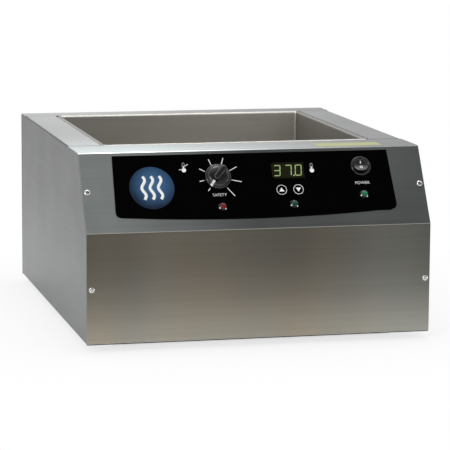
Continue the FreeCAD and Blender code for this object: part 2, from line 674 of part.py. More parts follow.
def rear_panel():
    """Folds the back: rim, back wall and bottom return, with vents and the inlet's opening."""
    body = new_body("rear_panel")
    t = "Sizes.sheet"
    lip = f"({TOP} - Sizes.lip_drop)"
    return_end = f"({BACK} - Sizes.return_width)"
    profile = new_sketch(body, "rear_profile", "YZ_Plane", f"-{SIDE}")
    polygon(
        profile,
        [
            (CUT_BACK, lip),
            (CUT_BACK, TOP),
            (BACK, TOP),
            (BACK, UNDER),
            (return_end, UNDER),
            (return_end, f"{UNDER} + {t}"),
            (f"{BACK} - {t}", f"{UNDER} + {t}"),
            (f"{BACK} - {t}", f"{TOP} - {t}"),
            (f"{CUT_BACK} + {t}", f"{TOP} - {t}"),
            (f"{CUT_BACK} + {t}", lip),
        ],
    )
    folded = pad(body, "rear_sheet", profile, "Sizes.width")
    outer = straight_edges(folded, "x", y=CUT_BACK, z=TOP)
    outer += straight_edges(folded, "x", y=BACK, z=TOP)
    outer += straight_edges(folded, "x", y=BACK, z=UNDER)
    bends = fillet(body, "rear_bends_outside", folded, outer, "Sizes.bend_radius")
    inner = straight_edges(bends, "x", y=f"{CUT_BACK} + {t}", z=f"{TOP} - {t}")
    inner += straight_edges(bends, "x", y=f"{BACK} - {t}", z=f"{TOP} - {t}")
    inner += straight_edges(bends, "x", y=f"{BACK} - {t}", z=f"{UNDER} + {t}")
    fillet(body, "rear_bends_inside", bends, inner, f"Sizes.bend_radius - {t}")
    room = f"({t} + Sizes.bend_radius)"
    low, high = (UNDER, f"{UNDER} + {room}"), (lip, f"{TOP} - {t}")
    trim_across(body, "rear_return", RETURN_END, (f"{return_end} - {t}", f"{BACK} - {t}"), low)
    trim_across(body, "rear_lip", LIP_END, (f"{CUT_BACK} - {t}", f"{CUT_BACK} + {room}"), high)
    openings = new_sketch(body, "rear_openings", "XZ_Plane", f"-{BACK}")
    half_width = "(Sizes.inlet_body_width / 2 + Sizes.fit_gap)"
    half_height = "(Sizes.inlet_body_height / 2 + Sizes.fit_gap)"
    left, right = f"{INLET_X} - {half_width}", f"{INLET_X} + {half_width}"
    rectangle(openings, left, right, f"{INLET_Z} - {half_height}", f"{INLET_Z} + {half_height}")
    screw_hole = "(Sizes.screw_shank + 2 * Sizes.screw_play)"
    for hand in HANDS.values():
        circle(openings, f"{INLET_X} + {hand} * Sizes.inlet_screw_pitch / 2", INLET_Z, screw_hole)
        for level in (LOWER_SCREW_Z, UPPER_REAR_SCREW_Z):
            circle(openings, mirrored(hand, SCREW_X), level, screw_hole)
    pocket(body, "rear_cuts", openings, f"2 * {t}", reverse=True)
    vent = new_sketch(body, "rear_vent", "XZ_Plane", f"-{BACK}")
    slot(vent, "0", f"{UNDER} + Sizes.rear_vent_height", "Sizes.vent_length", "Sizes.vent_width")
    first = pocket(body, "rear_vent_cut", vent, f"2 * {t}", reverse=True)
    repeat(body, "rear_vents", first, "V_Axis", VENT_RUN, VENT_COUNT)


def side_panel(side):
    """Folds a side: wall, top band with its turned-down edge, and the flanges under front and back."""
    hand = HANDS[side]
    body = new_body(f"{side}_side_panel")
    t = "Sizes.sheet"
    wall_top = f"({TOP} - {SKIN})"
    lip = f"({TOP} - Sizes.lip_drop)"
    band_front, band_back = f"({CUT_FRONT} + Sizes.fit_gap)", f"({CUT_BACK} - Sizes.fit_gap)"
    low_front, low_back = f"({FRONT} + {SKIN})", f"({BACK} - {SKIN})"
    outside, inside = mirrored(hand, SIDE), mirrored(hand, f"{SIDE} - {t}")
    edge, edge_back = mirrored(hand, CUT_SIDE), mirrored(hand, f"{CUT_SIDE} + {t}")
    inwards = hand > 0
    band = new_sketch(body, f"{side}_band", "XZ_Plane", f"-{band_front}")
    polygon(
        band,
        [
            (outside, UNDER),
            (outside, TOP),
            (edge, TOP),
            (edge, lip),
            (edge_back, lip),
            (edge_back, f"{TOP} - {t}"),
            (inside, f"{TOP} - {t}"),
            (inside, UNDER),
        ],
    )
    folded = pad(body, f"{side}_band_sheet", band, f"{band_back} - {band_front}", reverse=True)
    outer = straight_edges(folded, "y", x=outside, z=TOP)
    outer += straight_edges(folded, "y", x=edge, z=TOP)
    bends = fillet(body, f"{side}_band_bends", folded, outer, "Sizes.bend_radius")
    inner = straight_edges(bends, "y", x=inside, z=f"{TOP} - {t}")
    inner += straight_edges(bends, "y", x=edge_back, z=f"{TOP} - {t}")
    fillet(body, f"{side}_band_bends_inside", bends, inner, f"Sizes.bend_radius - {t}")
    wall = new_sketch(body, f"{side}_wall", "YZ_Plane", outside)
    slant_top = (slant_at(SKIN, wall_top), wall_top)
    polygon(wall, [(low_front, UNDER), knee_at(SKIN), slant_top, (band_front, wall_top), (band_front, UNDER)])
    rectangle(wall, band_back, low_back, UNDER, wall_top)
    pad(body, f"{side}_wall_sheet", wall, t, reverse=inwards)
    flanges = new_sketch(body, f"{side}_flanges", "YZ_Plane", outside)
    deep = f"({SKIN} + {t})"
    polygon(
        flanges,
        [
            slant_top,
            knee_at(SKIN),
            (low_front, UNDER),
            (low_back, UNDER),
            (low_back, wall_top),
            (f"{low_back} - {t}", wall_top),
            (f"{low_back} - {t}", f"{UNDER} + {t}"),
            (f"{low_front} + {t}", f"{UNDER} + {t}"),
            knee_at(deep),
            (slant_at(deep, wall_top), wall_top),
        ],
    )
    whole = pad(body, f"{side}_flange_sheet", flanges, "Sizes.return_width", reverse=inwards)
    outer = straight_edges(whole, "y", x=outside, z=UNDER)
    outer += straight_edges(whole, "z", x=outside, y=low_front)
    outer += straight_edges(whole, "z", x=outside, y=low_back)
    outer += edges_between(whole, (outside, *knee_at(SKIN)), (outside, *slant_top))
    fillet(body, f"{side}_bends", whole, outer, "Sizes.bend_radius")
    pilot = "(Sizes.screw_shank + 2 * Sizes.screw_play)"
    upper = slanted_sketch(body, f"{side}_upper_hole")
    circle(upper, mirrored(hand, SCREW_X), "Sizes.upper_screw_up", pilot)
    pocket(body, f"{side}_upper_hole_cut", upper, f"3 * {t}")
    lower = new_sketch(body, f"{side}_lower_hole", "XZ_Plane", f"-{FRONT}")
    circle(lower, mirrored(hand, SCREW_X), LOWER_SCREW_Z, pilot)
    pocket(body, f"{side}_lower_hole_cut", lower, f"3 * {t}")
    rear = new_sketch(body, f"{side}_rear_holes", "XZ_Plane", f"-{BACK}")
    for level in (LOWER_SCREW_Z, UPPER_REAR_SCREW_Z):
        circle(rear, mirrored(hand, SCREW_X), level, pilot)
    pocket(body, f"{side}_rear_hole_cut", rear, f"3 * {t}", reverse=True)


def base_plate():
    """Closes the housing from below, on the folded returns, with slots and the feet's holes."""
    body = new_body("base_plate")
    inset = f"({SKIN} + Sizes.bend_radius)"
    outline = new_sketch(body, "plate_outline", "XY_Plane", f"{UNDER} + Sizes.sheet")
    rectangle(
        outline,
        f"-{SIDE} + {inset}",
        f"{SIDE} - {inset}",
        f"{FRONT} + {inset}",
        f"{BACK} - {inset}",
    )
    for x_side, y_side in CORNERS.values():
        hole = "Sizes.foot_screw_shank + 2 * Sizes.screw_play"
        circle(outline, mirrored(x_side, FOOT_X), mirrored(y_side, FOOT_Y), hole)
    pad(body, "plate", outline, "Sizes.sheet")
    for side, hand in HANDS.items():
        vent = new_sketch(body, f"base_vent_{side}", "XY_Plane", PLATE_TOP)
        across, up = mirrored(hand, "Sizes.base_vent_offset"), f"{TANK_Y} - {VENT_RUN} / 2"
        slot(vent, across, up, "Sizes.vent_length", "Sizes.vent_width")
        first = pocket(body, f"base_vent_cut_{side}", vent, "2 * Sizes.sheet")
        repeat(body, f"base_vents_{side}", first, "V_Axis", VENT_RUN, VENT_COUNT)


def foot(corner):
    """Turns a rubber foot with a recess for its screw."""
    x_side, y_side = CORNERS[corner]
    body = new_body(f"{corner}_foot")
    section = new_sketch(body, f"{corner}_foot_section", "XZ_Plane")
    height = f"({UNDER} + Sizes.sheet)"
    hole = "(Sizes.foot_screw_shank / 2 + Sizes.screw_play)"
    polygon(
        section,
        [
            ("Sizes.foot_recess / 2", "0"),
            ("Sizes.foot_bottom / 2", "0"),
            ("Sizes.foot_top / 2", height),
            (hole, height),
            (hole, "Sizes.foot_recess_depth"),
            ("Sizes.foot_recess / 2", "Sizes.foot_recess_depth"),
        ],
    )
    revolved(body, f"{corner}_foot_turned", section)
    bind(body, Placement__Base__x=mirrored(x_side, FOOT_X), Placement__Base__y=mirrored(y_side, FOOT_Y))


def foot_screw(corner):
    """Makes the screw that holds a foot to the base plate."""
    x_side, y_side = CORNERS[corner]
    low = "(Sizes.foot_recess_depth - Sizes.foot_screw_head_height)"
    high = f"({PLATE_TOP} + Sizes.foot_screw_stub)"
    head = drum(f"{corner}_foot_screw_head", "Sizes.foot_screw_head", low, "Sizes.foot_recess_depth")
    shank = drum(f"{corner}_foot_screw_shank", "Sizes.foot_screw_shank", "Sizes.foot_recess_depth", high)
    screw = register(fuse(f"{corner}_foot_screw", head, shank), f"{corner}_foot_screw")
    bind(screw, Placement__Base__x=mirrored(x_side, FOOT_X), Placement__Base__y=mirrored(y_side, FOOT_Y))


def housing_screw(label):
    """Turns a pan-head screw along Z, with its head on the plane Z = 0."""
    body = new_body(label)
    section = new_sketch(body, f"{label}_section", "XZ_Plane")
    shank, head = "Sizes.screw_shank / 2", "Sizes.screw_head / 2"
    low_head = "Sizes.screw_head_height / 2"
    polygon(
        section,
        [
            ("0", "-Sizes.screw_length"),
            (shank, "-Sizes.screw_length + Sizes.screw_shank / 2"),
            (shank, "0"),
            (head, "0"),
            (head, low_head),
            (f"{head} * {SCREW_FLAT}", "Sizes.screw_head_height"),
            ("0", "Sizes.screw_head_height"),
        ],
    )
    revolved(body, f"{label}_turned", section)
    return body


def housing_screws():
    """Puts the screws of the front and rear panels and of the inlet in place."""
    for side, hand in HANDS.items():
        across = mirrored(hand, SCREW_X)
        seat_on_slant(housing_screw(f"front_upper_screw_{side}"), across, "Sizes.upper_screw_up")
        place_flat(housing_screw(f"front_lower_screw_{side}"), across, FRONT, LOWER_SCREW_Z, 90)
        place_flat(housing_screw(f"rear_lower_screw_{side}"), across, BACK, LOWER_SCREW_Z, -90)
        place_flat(housing_screw(f"rear_upper_screw_{side}"), across, BACK, UPPER_REAR_SCREW_Z, -90)
        across = f"{INLET_X} + {hand} * Sizes.inlet_screw_pitch / 2"
        seat = f"{BACK} + Sizes.inlet_plate"
        place_flat(housing_screw(f"inlet_screw_{side}"), across, seat, INLET_Z, -90)


def place_flat(piece, x, y, z, turn):
    """Turns a piece about X and moves it to its place on an upright wall."""
    piece.Placement = FreeCAD.Placement(V(), FreeCAD.Rotation(X_AXIS, turn))
    bind(piece, Placement__Base__x=x, Placement__Base__y=y, Placement__Base__z=z)


# The tank and what heats, carries and insulates it


def pan_outline(body, name, level, side, reach, corner):
    """Draws a rectangle with round corners about the tank's middle."""
    outline = new_sketch(body, name, "XY_Plane", level)
    y = (f"{TANK_Y} - {reach}", f"{TANK_Y} + {reach}")
    return round_rectangle(outline, (f"-{side}", side), y, corner)


def pan_edges(feature, side, reach, level):
    """Names the straight edges at a level of a rectangle about the tank's middle."""
    names = []
    for hand in HANDS.values():
        names += straight_edges(feature, "y", x=mirrored(hand, side), z=level)
        names += straight_edges(feature, "x", y=f"{TANK_Y} + {mirrored(hand, reach)}", z=level)
    return names


def tank():
    """Forms the tank: a deep pan with round corners and a folded rim."""
    body = new_body("tank")
    floor, corner = f"({RIM} - Sizes.tank_depth)", "Sizes.tank_corner"
    side, reach = f"({TANK_SIDE} + Sizes.tank_sheet)", f"({TANK_REACH} + Sizes.tank_sheet)"
    outline = pan_outline(body, "tank_outline", TANK_UNDER, side, reach, f"({corner} + Sizes.tank_sheet)")
    pad(body, "tank_block", outline, f"{RIM} - {TANK_UNDER}")
    side, reach = f"({TANK_SIDE} + Sizes.hem_thickness)", f"({TANK_REACH} + Sizes.hem_thickness)"
    low = f"{RIM} - Sizes.hem_drop"
    outline = pan_outline(body, "hem_outline", low, side, reach, f"({corner} + Sizes.hem_thickness)")
    hem = pad(body, "hem", outline, "Sizes.hem_drop")
    fillet(body, "hem_round", hem, pan_edges(hem, side, reach, RIM), "Sizes.hem_thickness / 3")
    room = pan_outline(body, "tank_room", RIM, TANK_SIDE, TANK_REACH, corner)
    hollow = pocket(body, "tank_hollow", room, "Sizes.tank_depth")
    floor_edges = pan_edges(hollow, TANK_SIDE, TANK_REACH, floor)
    pan = fillet(body, "tank_floor_round", hollow, floor_edges, "Sizes.tank_bend")
    side, reach = f"({TANK_SIDE} + Sizes.tank_sheet)", f"({TANK_REACH} + Sizes.tank_sheet)"
    under = pan_edges(pan, side, reach, TANK_UNDER)
    fillet(body, "tank_under_round", pan, under, "Sizes.tank_bend + Sizes.tank_sheet")


def tank_rail(label, hand):
    """Folds a top-hat rail that carries the tank on the base plate."""
    body = new_body(label)
    t = "Sizes.rail_sheet"
    middle = f"({TANK_Y} + {mirrored(hand, 'Sizes.rail_offset')})"
    half = "(Sizes.rail_width / 2)"
    wide = f"({half} + Sizes.rail_flange)"
    inside = f"({half} - {t})"
    foot_top = f"({PLATE_TOP} + {t})"
    crown = f"({TANK_UNDER} - {t})"
    right_half = [
        (f"{middle} + {half}", TANK_UNDER),
        (f"{middle} + {half}", foot_top),
        (f"{middle} + {wide}", foot_top),
        (f"{middle} + {wide}", PLATE_TOP),
        (f"{middle} + {inside}", PLATE_TOP),
        (f"{middle} + {inside}", crown),
    ]
    left_half = [
        (f"{middle} - {inside}", crown),
        (f"{middle} - {inside}", PLATE_TOP),
        (f"{middle} - {wide}", PLATE_TOP),
        (f"{middle} - {wide}", foot_top),
        (f"{middle} - {half}", foot_top),
        (f"{middle} - {half}", TANK_UNDER),
    ]
    length = f"(2 * ({TANK_SIDE} - Sizes.rail_inset))"
    profile = new_sketch(body, f"{label}_profile", "YZ_Plane", f"-{length} / 2")
    polygon(profile, right_half + left_half)
    pad(body, f"{label}_sheet", profile, length)


def heater():
    """Makes the flat heating mat under the tank."""
    half_width, half_depth = "(Sizes.heater_width / 2)", "(Sizes.heater_depth / 2)"
    mat = block(
        "heater_mat",
        (f"-{half_width}", half_width),
        (f"{TANK_Y} - {half_depth}", f"{TANK_Y} + {half_depth}"),
        (f"{TANK_UNDER} - Sizes.heater_thickness", TANK_UNDER),
    )
    register(mat, "heater_mat")


def insulation():
    """Makes the slabs that lie against the tank's four walls."""
    levels = (INSULATION_LOW, f"({TOP} - Sizes.insulation_drop)")
    thick = "Sizes.insulation_thickness"
    side, reach = f"({TANK_SIDE} + Sizes.tank_sheet)", f"({TANK_REACH} + Sizes.tank_sheet)"
    for name, hand in HANDS.items():
        x = (f"-({side} + {thick})", f"-{side}") if hand < 0 else (side, f"{side} + {thick}")
        y = (f"{TANK_Y} - {reach}", f"{TANK_Y} + {reach}")
        register(block(f"{name}_insulation", x, y, levels), f"{name}_insulation")
    x = (f"-{side}", side)
    front = (f"{TANK_Y} - {reach} - {thick}", f"{TANK_Y} - {reach}")
    back = (f"{TANK_Y} + {reach}", f"{TANK_Y} + {reach} + {thick}")
    for name, y in (("front", front), ("rear", back)):
        register(block(f"{name}_insulation", x, y, levels), f"{name}_insulation")


def clip(label, diameter, y):
    """Bends a saddle clip that holds a round probe against the tank's underside."""
    t, gap = "Sizes.clip_sheet", "Sizes.fit_gap"
    axis = f"({TANK_UNDER} - {diameter} / 2 - {gap})"
    inside = f"({diameter} + 2 * {gap})"
    shell = rod(f"{label}_shell", f"{inside} + 2 * {t}", "0", "Sizes.clip_width", y, axis)
    reach = f"({inside} / 2 + {t} + Sizes.clip_flange)"
    half = "Sizes.clip_width / 2"
    flange = block(
        f"{label}_flange",
        (f"-{half}", half),
        (f"{y} - {reach}", f"{y} + {reach}"),
        (f"{TANK_UNDER} - {t}", TANK_UNDER),
    )
    upper = block(
        f"{label}_upper",
        (f"-{half}", half),
        (f"{y} - {reach}", f"{y} + {reach}"),
        (TANK_UNDER, f"{TANK_UNDER} + {diameter}"),
    )
    cheeks = block(
        f"{label}_cheeks",
        (f"-{half}", half),
        (f"{y} - {inside} / 2 - {t}", f"{y} + {inside} / 2 + {t}"),
        (axis, TANK_UNDER),
    )
    bore = rod(f"{label}_bore", inside, "0", "2 * Sizes.clip_width", y, axis)
    throat = block(
        f"{label}_throat",
        (f"-{half}", half),
        (f"{y} - {inside} / 2", f"{y} + {inside} / 2"),
        (axis, TANK_UNDER),
    )
    outer = fuse(f"{label}_outer", shell, cheeks, flange)
    room = fuse(f"{label}_room", upper, bore, throat)
    register(cut(label, outer, room), label)


def probes():
    """Makes the controller's probe and the clips of probe and bulb."""
    axis = f"({TANK_UNDER} - Sizes.bulb_diameter / 2 - Sizes.fit_gap)"
    front, back = f"({TANK_Y} - Sizes.bulb_offset)", f"({TANK_Y} + Sizes.bulb_offset)"
    probe = rod("temperature_probe", "Sizes.bulb_diameter", "0", "Sizes.probe_length", back, axis)
    register(probe, "temperature_probe")
    clip("bulb_clip", "Sizes.bulb_diameter", front)
    clip("probe_clip", "Sizes.bulb_diameter", back)


def bent_tube(points, radius, bend):
    """Sweeps a round tube along straight runs joined by tangent arcs."""
    edges = []
    start = points[0]
    for before, corner, after in zip(points, points[1:], points[2:]):
        into, out = (corner - before).normalize(), (after - corner).normalize()
        turn = math.acos(max(-1.0, min(1.0, into.dot(out))))
        back = bend * math.tan(turn / 2)
        first, last = corner - into * back, corner + out * back
        towards = (out - into).normalize()
        middle = corner + towards * (bend / math.cos(turn / 2) - bend)
        edges.append(Part.LineSegment(start, first).toShape())
        edges.append(Part.Arc(first, middle, last).toShape())
        start = last
    edges.append(Part.LineSegment(start, points[-1]).toShape())
    path = Part.Wire(edges)
    ring = Part.Wire([Part.Circle(points[0], points[1] - points[0], radius).toShape()])
    return path.makePipeShell([ring], True, False)


def thermostat_bulb():
    """Runs the capillary from the safety thermostat to its bulb under the tank."""
    lean = math.radians(size(LEAN))
    along, out = V(0, math.sin(lean), math.cos(lean)), V(0, -math.cos(lean), math.sin(lean))
    place = V(size(DIAL[0]), size(FRONT), size(KNEE)) + along * size(DIAL[1])
    place.x -= size("Sizes.capillary_side")
    low_edge = place - along * (size("Sizes.thermostat_height") / 2)
    depth = size("Sizes.sheet + Sizes.fit_gap + Sizes.thermostat_thickness / 2")
    start = low_edge - out * depth
    bend = size("Sizes.capillary_bend")
    radius = size("Sizes.capillary_diameter / 2")
    level = size(f"{TANK_UNDER} - Sizes.bulb_diameter / 2 - Sizes.fit_gap")
    side = -size(f"{TANK_SIDE} - Sizes.rail_inset") - 2 * bend
    bulb_y = size(f"{TANK_Y} - Sizes.bulb_offset")
    bulb_end = -size("Sizes.bulb_length / 2")
    corner = start - along * (2 * bend)
    points = [
        start,
        corner,
        V(start.x, corner.y, level),
        V(side, corner.y, level),
        V(side, bulb_y, level),
        V(bulb_end, bulb_y, level),
    ]
    tube = bent_tube(points, radius, bend)
    bulb_radius, bulb_length = size("Sizes.bulb_diameter / 2"), size("Sizes.bulb_length")
    bulb = Part.makeCylinder(bulb_radius, bulb_length, V(bulb_end, bulb_y, level), X_AXIS)
    feature = document.addObject("Part::Feature", "thermostat_bulb")
    feature.Shape = bulb.fuse(tube)
    feature.Placement = FreeCAD.Placement()
    register(feature, "thermostat_bulb")


# The controls on the slanted face


def control_overlay():
    """Makes the printed film with its openings; its lower corners are round."""
    body = new_body("control_overlay")
    film = new_sketch(body, "film_outline", "XY_Plane")
    rectangle(film, f"-{OVERLAY_SIDE}", OVERLAY_SIDE, f"-{OVERLAY_REACH}", OVERLAY_REACH)
    sheet_of_film = pad(body, "film", film, "Sizes.overlay_thickness")
    corners = []
    for hand in (-1, 1):
        corners += straight_edges_up(sheet_of_film, mirrored(hand, OVERLAY_SIDE), f"-{OVERLAY_REACH}")
    fillet(body, "film_corners", sheet_of_film, corners, "Sizes.overlay_corner")
    openings = new_sketch(body, "film_openings", "XY_Plane", "Sizes.overlay_thickness")
    for across, rise in LAMP_SPOTS.values():
        circle(openings, across, rise, "Sizes.lamp_hole")
    circle(openings, "Sizes.dial_across", "Sizes.dial_up", "Sizes.bushing_hole")
    circle(openings, SWITCH_ACROSS, "Sizes.switch_up", "Sizes.switch_hole")
    half_width = "(Sizes.window_width / 2 + Sizes.fit_gap)"
    half_height = "(Sizes.window_height / 2 + Sizes.fit_gap)"
    rectangle(
        openings,
        f"Sizes.window_across - {half_width}",
        f"Sizes.window_across + {half_width}",
        f"Sizes.window_up - {half_height}",
        f"Sizes.window_up + {half_height}",
    )
    pocket(body, "film_cuts", openings, "2 * Sizes.overlay_thickness")
    seat_on_slant(body, "0", OVERLAY_UP)


def straight_edges_up(feature, x, y):
    """Names the short edges along Z at a place."""
    names = []
    for number, edge in enumerate(feature.Shape.Edges, start=1):
        middle = edge.CenterOfMass
        if abs(middle.x - size(x)) < 0.01 and abs(middle.y - size(y)) < 0.01:
            names.append(f"Edge{number}")
    return names


def display():
    """Makes the window and, on the board behind it, the display module."""
    thick = "Sizes.overlay_thickness"
    window = slab("display_window", "Sizes.window_width", "Sizes.window_height", "0", thick)
    seat_on_slant(window, *WINDOW)
    back = "-Sizes.sheet - Sizes.fit_gap"
    module = slab("display_module", "Sizes.module_width", "Sizes.module_height", BOARD_FACE, back)
    seat_on_slant(module, *WINDOW)


def control_board():
    """Makes the board behind the panel, its pillars and the two key switches."""
    half_width, half_height = "(Sizes.board_width / 2)", "(Sizes.board_height / 2)"
    low = f"({BOARD_FACE} - Sizes.board_thickness)"
    board = slab("control_board", "Sizes.board_width", "Sizes.board_height", low, BOARD_FACE)
    seat_on_slant(board, *BOARD)
    pillars = []
    for corner, (x_side, y_side) in CORNERS.items():
        x = mirrored(x_side, f"{half_width} - Sizes.standoff_inset")
        y = mirrored(y_side, f"{half_height} - Sizes.standoff_inset")
        pillars.append(drum(f"{corner}_pillar", "Sizes.standoff_width", BOARD_FACE, "-Sizes.sheet", x, y))
    pillars = document_compound("board_pillars", pillars)
    seat_on_slant(register(pillars, "board_pillars"), *BOARD)
    for name, place in KEYS.items():
        half = "Sizes.key_body / 2"
        stop = "-Sizes.sheet - Sizes.key_travel_room"
        square, levels = (f"-{half}", half), (BOARD_FACE, f"{stop} - Sizes.key_plunger")
        base = block(f"{name}_base", square, square, levels)
        plunger = drum(f"{name}_plunger", "Sizes.key_plunger", f"{stop} - Sizes.key_plunger", stop)
        key = register(fuse(f"{name}_switch", base, plunger), f"{name}_switch")
        seat_on_slant(key, *place)


def document_compound(name, solids):
    """Keeps several loose solids of one kind together as one piece."""
    result = document.addObject("Part::Compound", name)
    result.Links = solids
    return result


def safety_knob():
    """Makes the knob: a skirt, a round crown and a tall grip across it, hollow below."""
    body = new_body("safety_knob")
    lift = "Sizes.knob_lift"
    skirt_top = f"({lift} + Sizes.knob_skirt)"
    crown_top = f"({lift} + Sizes.knob_crown_height)"
    top = f"({lift} + Sizes.knob_height)"
    section = new_sketch(body, "knob_section", "XZ_Plane")
    radius, crown = "(Sizes.knob_diameter / 2)", "(Sizes.knob_crown / 2)"
    polygon(
        section,
        [
            ("0", lift),
            (radius, lift),
            (radius, f"{skirt_top} - Sizes.knob_skirt * {KNOB_BEVEL}"),
            (f"{radius} - Sizes.knob_skirt * {KNOB_BEVEL}", skirt_top),
            (crown, skirt_top),
            (f"{crown} * {CROWN_TAPER}", crown_top),
            ("0", crown_top),
        ],
    )
    revolved(body, "knob_round", section)
    grip = new_sketch(body, "knob_grip_outline", "XY_Plane", crown_top)
    grip.AttachmentOffset = FreeCAD.Placement(V(), FreeCAD.Rotation(Z_AXIS, 1))
    bind(grip, AttachmentOffset__Base__z=crown_top)
    bind(grip, AttachmentOffset__Rotation__Angle="90 deg - Sizes.dial_rest_angle * 1 deg")
    slot(grip, "0", "0", "Sizes.knob_crown", "Sizes.knob_grip")
    pad(body, "knob_grip", grip, f"{top} - {crown_top}")
    hollow = new_sketch(body, "knob_nut_room", "XY_Plane", lift)
    circle(hollow, "0", "0", "Sizes.knob_hollow")
    pocket(body, "knob_hollow", hollow, f"{crown_top} - {lift} - Sizes.knob_wall", reverse=True)
    bore = new_sketch(body, "knob_bore_outline", "XY_Plane", lift)
    circle(bore, "0", "0", "Sizes.shaft_diameter + 2 * Sizes.shaft_play")
    reach = f"({crown_top} - {lift} - Sizes.knob_wall + Sizes.shaft_reach)"
    pocket(body, "knob_bore", bore, f"{reach} + Sizes.fit_gap", reverse=True)
    seat_on_slant(body, *DIAL, "Sizes.overlay_thickness")


def thermostat():
    """Makes the safety thermostat with its bushing, nut and turning shaft."""
    half_width, half_height = "(Sizes.thermostat_width / 2)", "(Sizes.thermostat_height / 2)"
    face = "(-Sizes.sheet - Sizes.fit_gap)"
    front = "(Sizes.overlay_thickness + Sizes.nut_thickness + 2 * Sizes.fit_gap)"
    bottom = f"({face} - Sizes.shaft_bury)"
    case = block(
        "thermostat_case",
        (f"-{half_width}", half_width),
        (f"-{half_height}", half_height),
        (f"{face} - Sizes.thermostat_thickness", face),
    )
    bushing = drum("thermostat_bushing", "Sizes.bushing_diameter", face, front)
    bore = drum("thermostat_bore", "Sizes.shaft_diameter + 2 * Sizes.shaft_play", bottom, front)
    body = cut("thermostat_body", fuse("thermostat_outer", case, bushing), bore)
    seat_on_slant(register(body, "thermostat_body"), *DIAL)
    hexagon = document.addObject("Part::Prism", "nut_hexagon")
    hexagon.Polygon = 6
    bind(
        hexagon,
        Circumradius="Sizes.nut_across_flats / sqrt(3)",
        Height="Sizes.nut_thickness",
        Placement__Base__z="Sizes.overlay_thickness",
    )
    passage = drum(
        "nut_passage",
        "Sizes.bushing_diameter + 2 * Sizes.shaft_play",
        "0",
        "Sizes.overlay_thickness + 2 * Sizes.nut_thickness",
    )
    seat_on_slant(register(cut("thermostat_nut", hexagon, passage), "thermostat_nut"), *DIAL)
    roof = "(Sizes.overlay_thickness + Sizes.knob_lift + Sizes.knob_crown_height - Sizes.knob_wall)"
    shaft = new_body("thermostat_shaft")
    low = f"({bottom} + Sizes.fit_gap)"
    ring = circle(new_sketch(shaft, "shaft_ring", "XY_Plane", low), "0", "0", "Sizes.shaft_diameter")
    pad(shaft, "shaft_round", ring, f"{roof} + Sizes.shaft_reach - {low}")
    seat_on_slant(shaft, *DIAL)


PIVOT = "(Sizes.overlay_thickness + Sizes.bezel_thickness - Sizes.rocker_dip)"


def power_switch():
    """Makes the round switch: a body with a bezel and a well, and the rocker on its pin."""
    bezel_top = "(Sizes.overlay_thickness + Sizes.bezel_thickness)"
    body = new_body("power_switch_body")
    section = new_sketch(body, "switch_section", "XZ_Plane")
    rim, well = "(Sizes.switch_bezel / 2)", "(Sizes.well_diameter / 2)"
    barrel = "(Sizes.switch_hole / 2 - Sizes.fit_gap)"
    well_floor = f"({bezel_top} - Sizes.well_depth)"
    bottom = "(-Sizes.switch_depth)"
    polygon(
        section,
        [
            ("0", bottom),
            (barrel, bottom),
            (barrel, "Sizes.overlay_thickness"),
            (rim, "Sizes.overlay_thickness"),
            (rim, f"{bezel_top} - Sizes.bezel_thickness / 2"),
            (f"{rim} - Sizes.bezel_thickness / 2", bezel_top),
            (well, bezel_top),
            (well, well_floor),
            ("0", well_floor),
        ],
    )
    revolved(body, "switch_turned", section)
    span = "(Sizes.well_diameter + 2 * (Sizes.rocker_pin_reach + Sizes.fit_gap))"
    pin_hole = new_sketch(body, "pin_hole", "YZ_Plane", f"-{span} / 2")
    circle(pin_hole, "0", PIVOT, "Sizes.rocker_pin + 2 * Sizes.shaft_play")
    pocket(body, "pin_hole_cut", pin_hole, span, reverse=True)
    seat_on_slant(body, *SWITCH)

    half = "(Sizes.rocker_length / 2)"
    rocker = document.addObject("PartDesign::Body", "rocker_form")
    side_view = new_sketch(rocker, "rocker_side_view", "YZ_Plane", "-Sizes.rocker_diameter / 2")
    polygon(
        side_view,
        [
            (f"-{half}", "Sizes.rocker_crown"),
            ("0", "Sizes.rocker_crown - Sizes.rocker_dip"),
            (half, "Sizes.rocker_crown"),
            (half, "0"),
            (f"{half} * {SKIRT_TAPER}", "-Sizes.rocker_skirt"),
            (f"-{half} * {SKIRT_TAPER}", "-Sizes.rocker_skirt"),
            (f"-{half}", "0"),
        ],
    )
    pad(rocker, "rocker_block", side_view, "Sizes.rocker_diameter")
    round_limit = drum("rocker_round", "Sizes.rocker_diameter", "-Sizes.rocker_skirt", "Sizes.rocker_crown")
    pin_length = "Sizes.well_diameter + 2 * Sizes.rocker_pin_reach"
    pin = rod("rocker_pin", "Sizes.rocker_pin", "0", pin_length, "0", "0")
    form = fuse("power_rocker", common("rocker_shape", rocker, round_limit), pin)
    seat_on_slant(register(form, "power_rocker"), *SWITCH, PIVOT)
    bind(form, Placement__Rotation__Angle=f"{STEEPNESS} - Sizes.rocker_tilt * 1 deg")


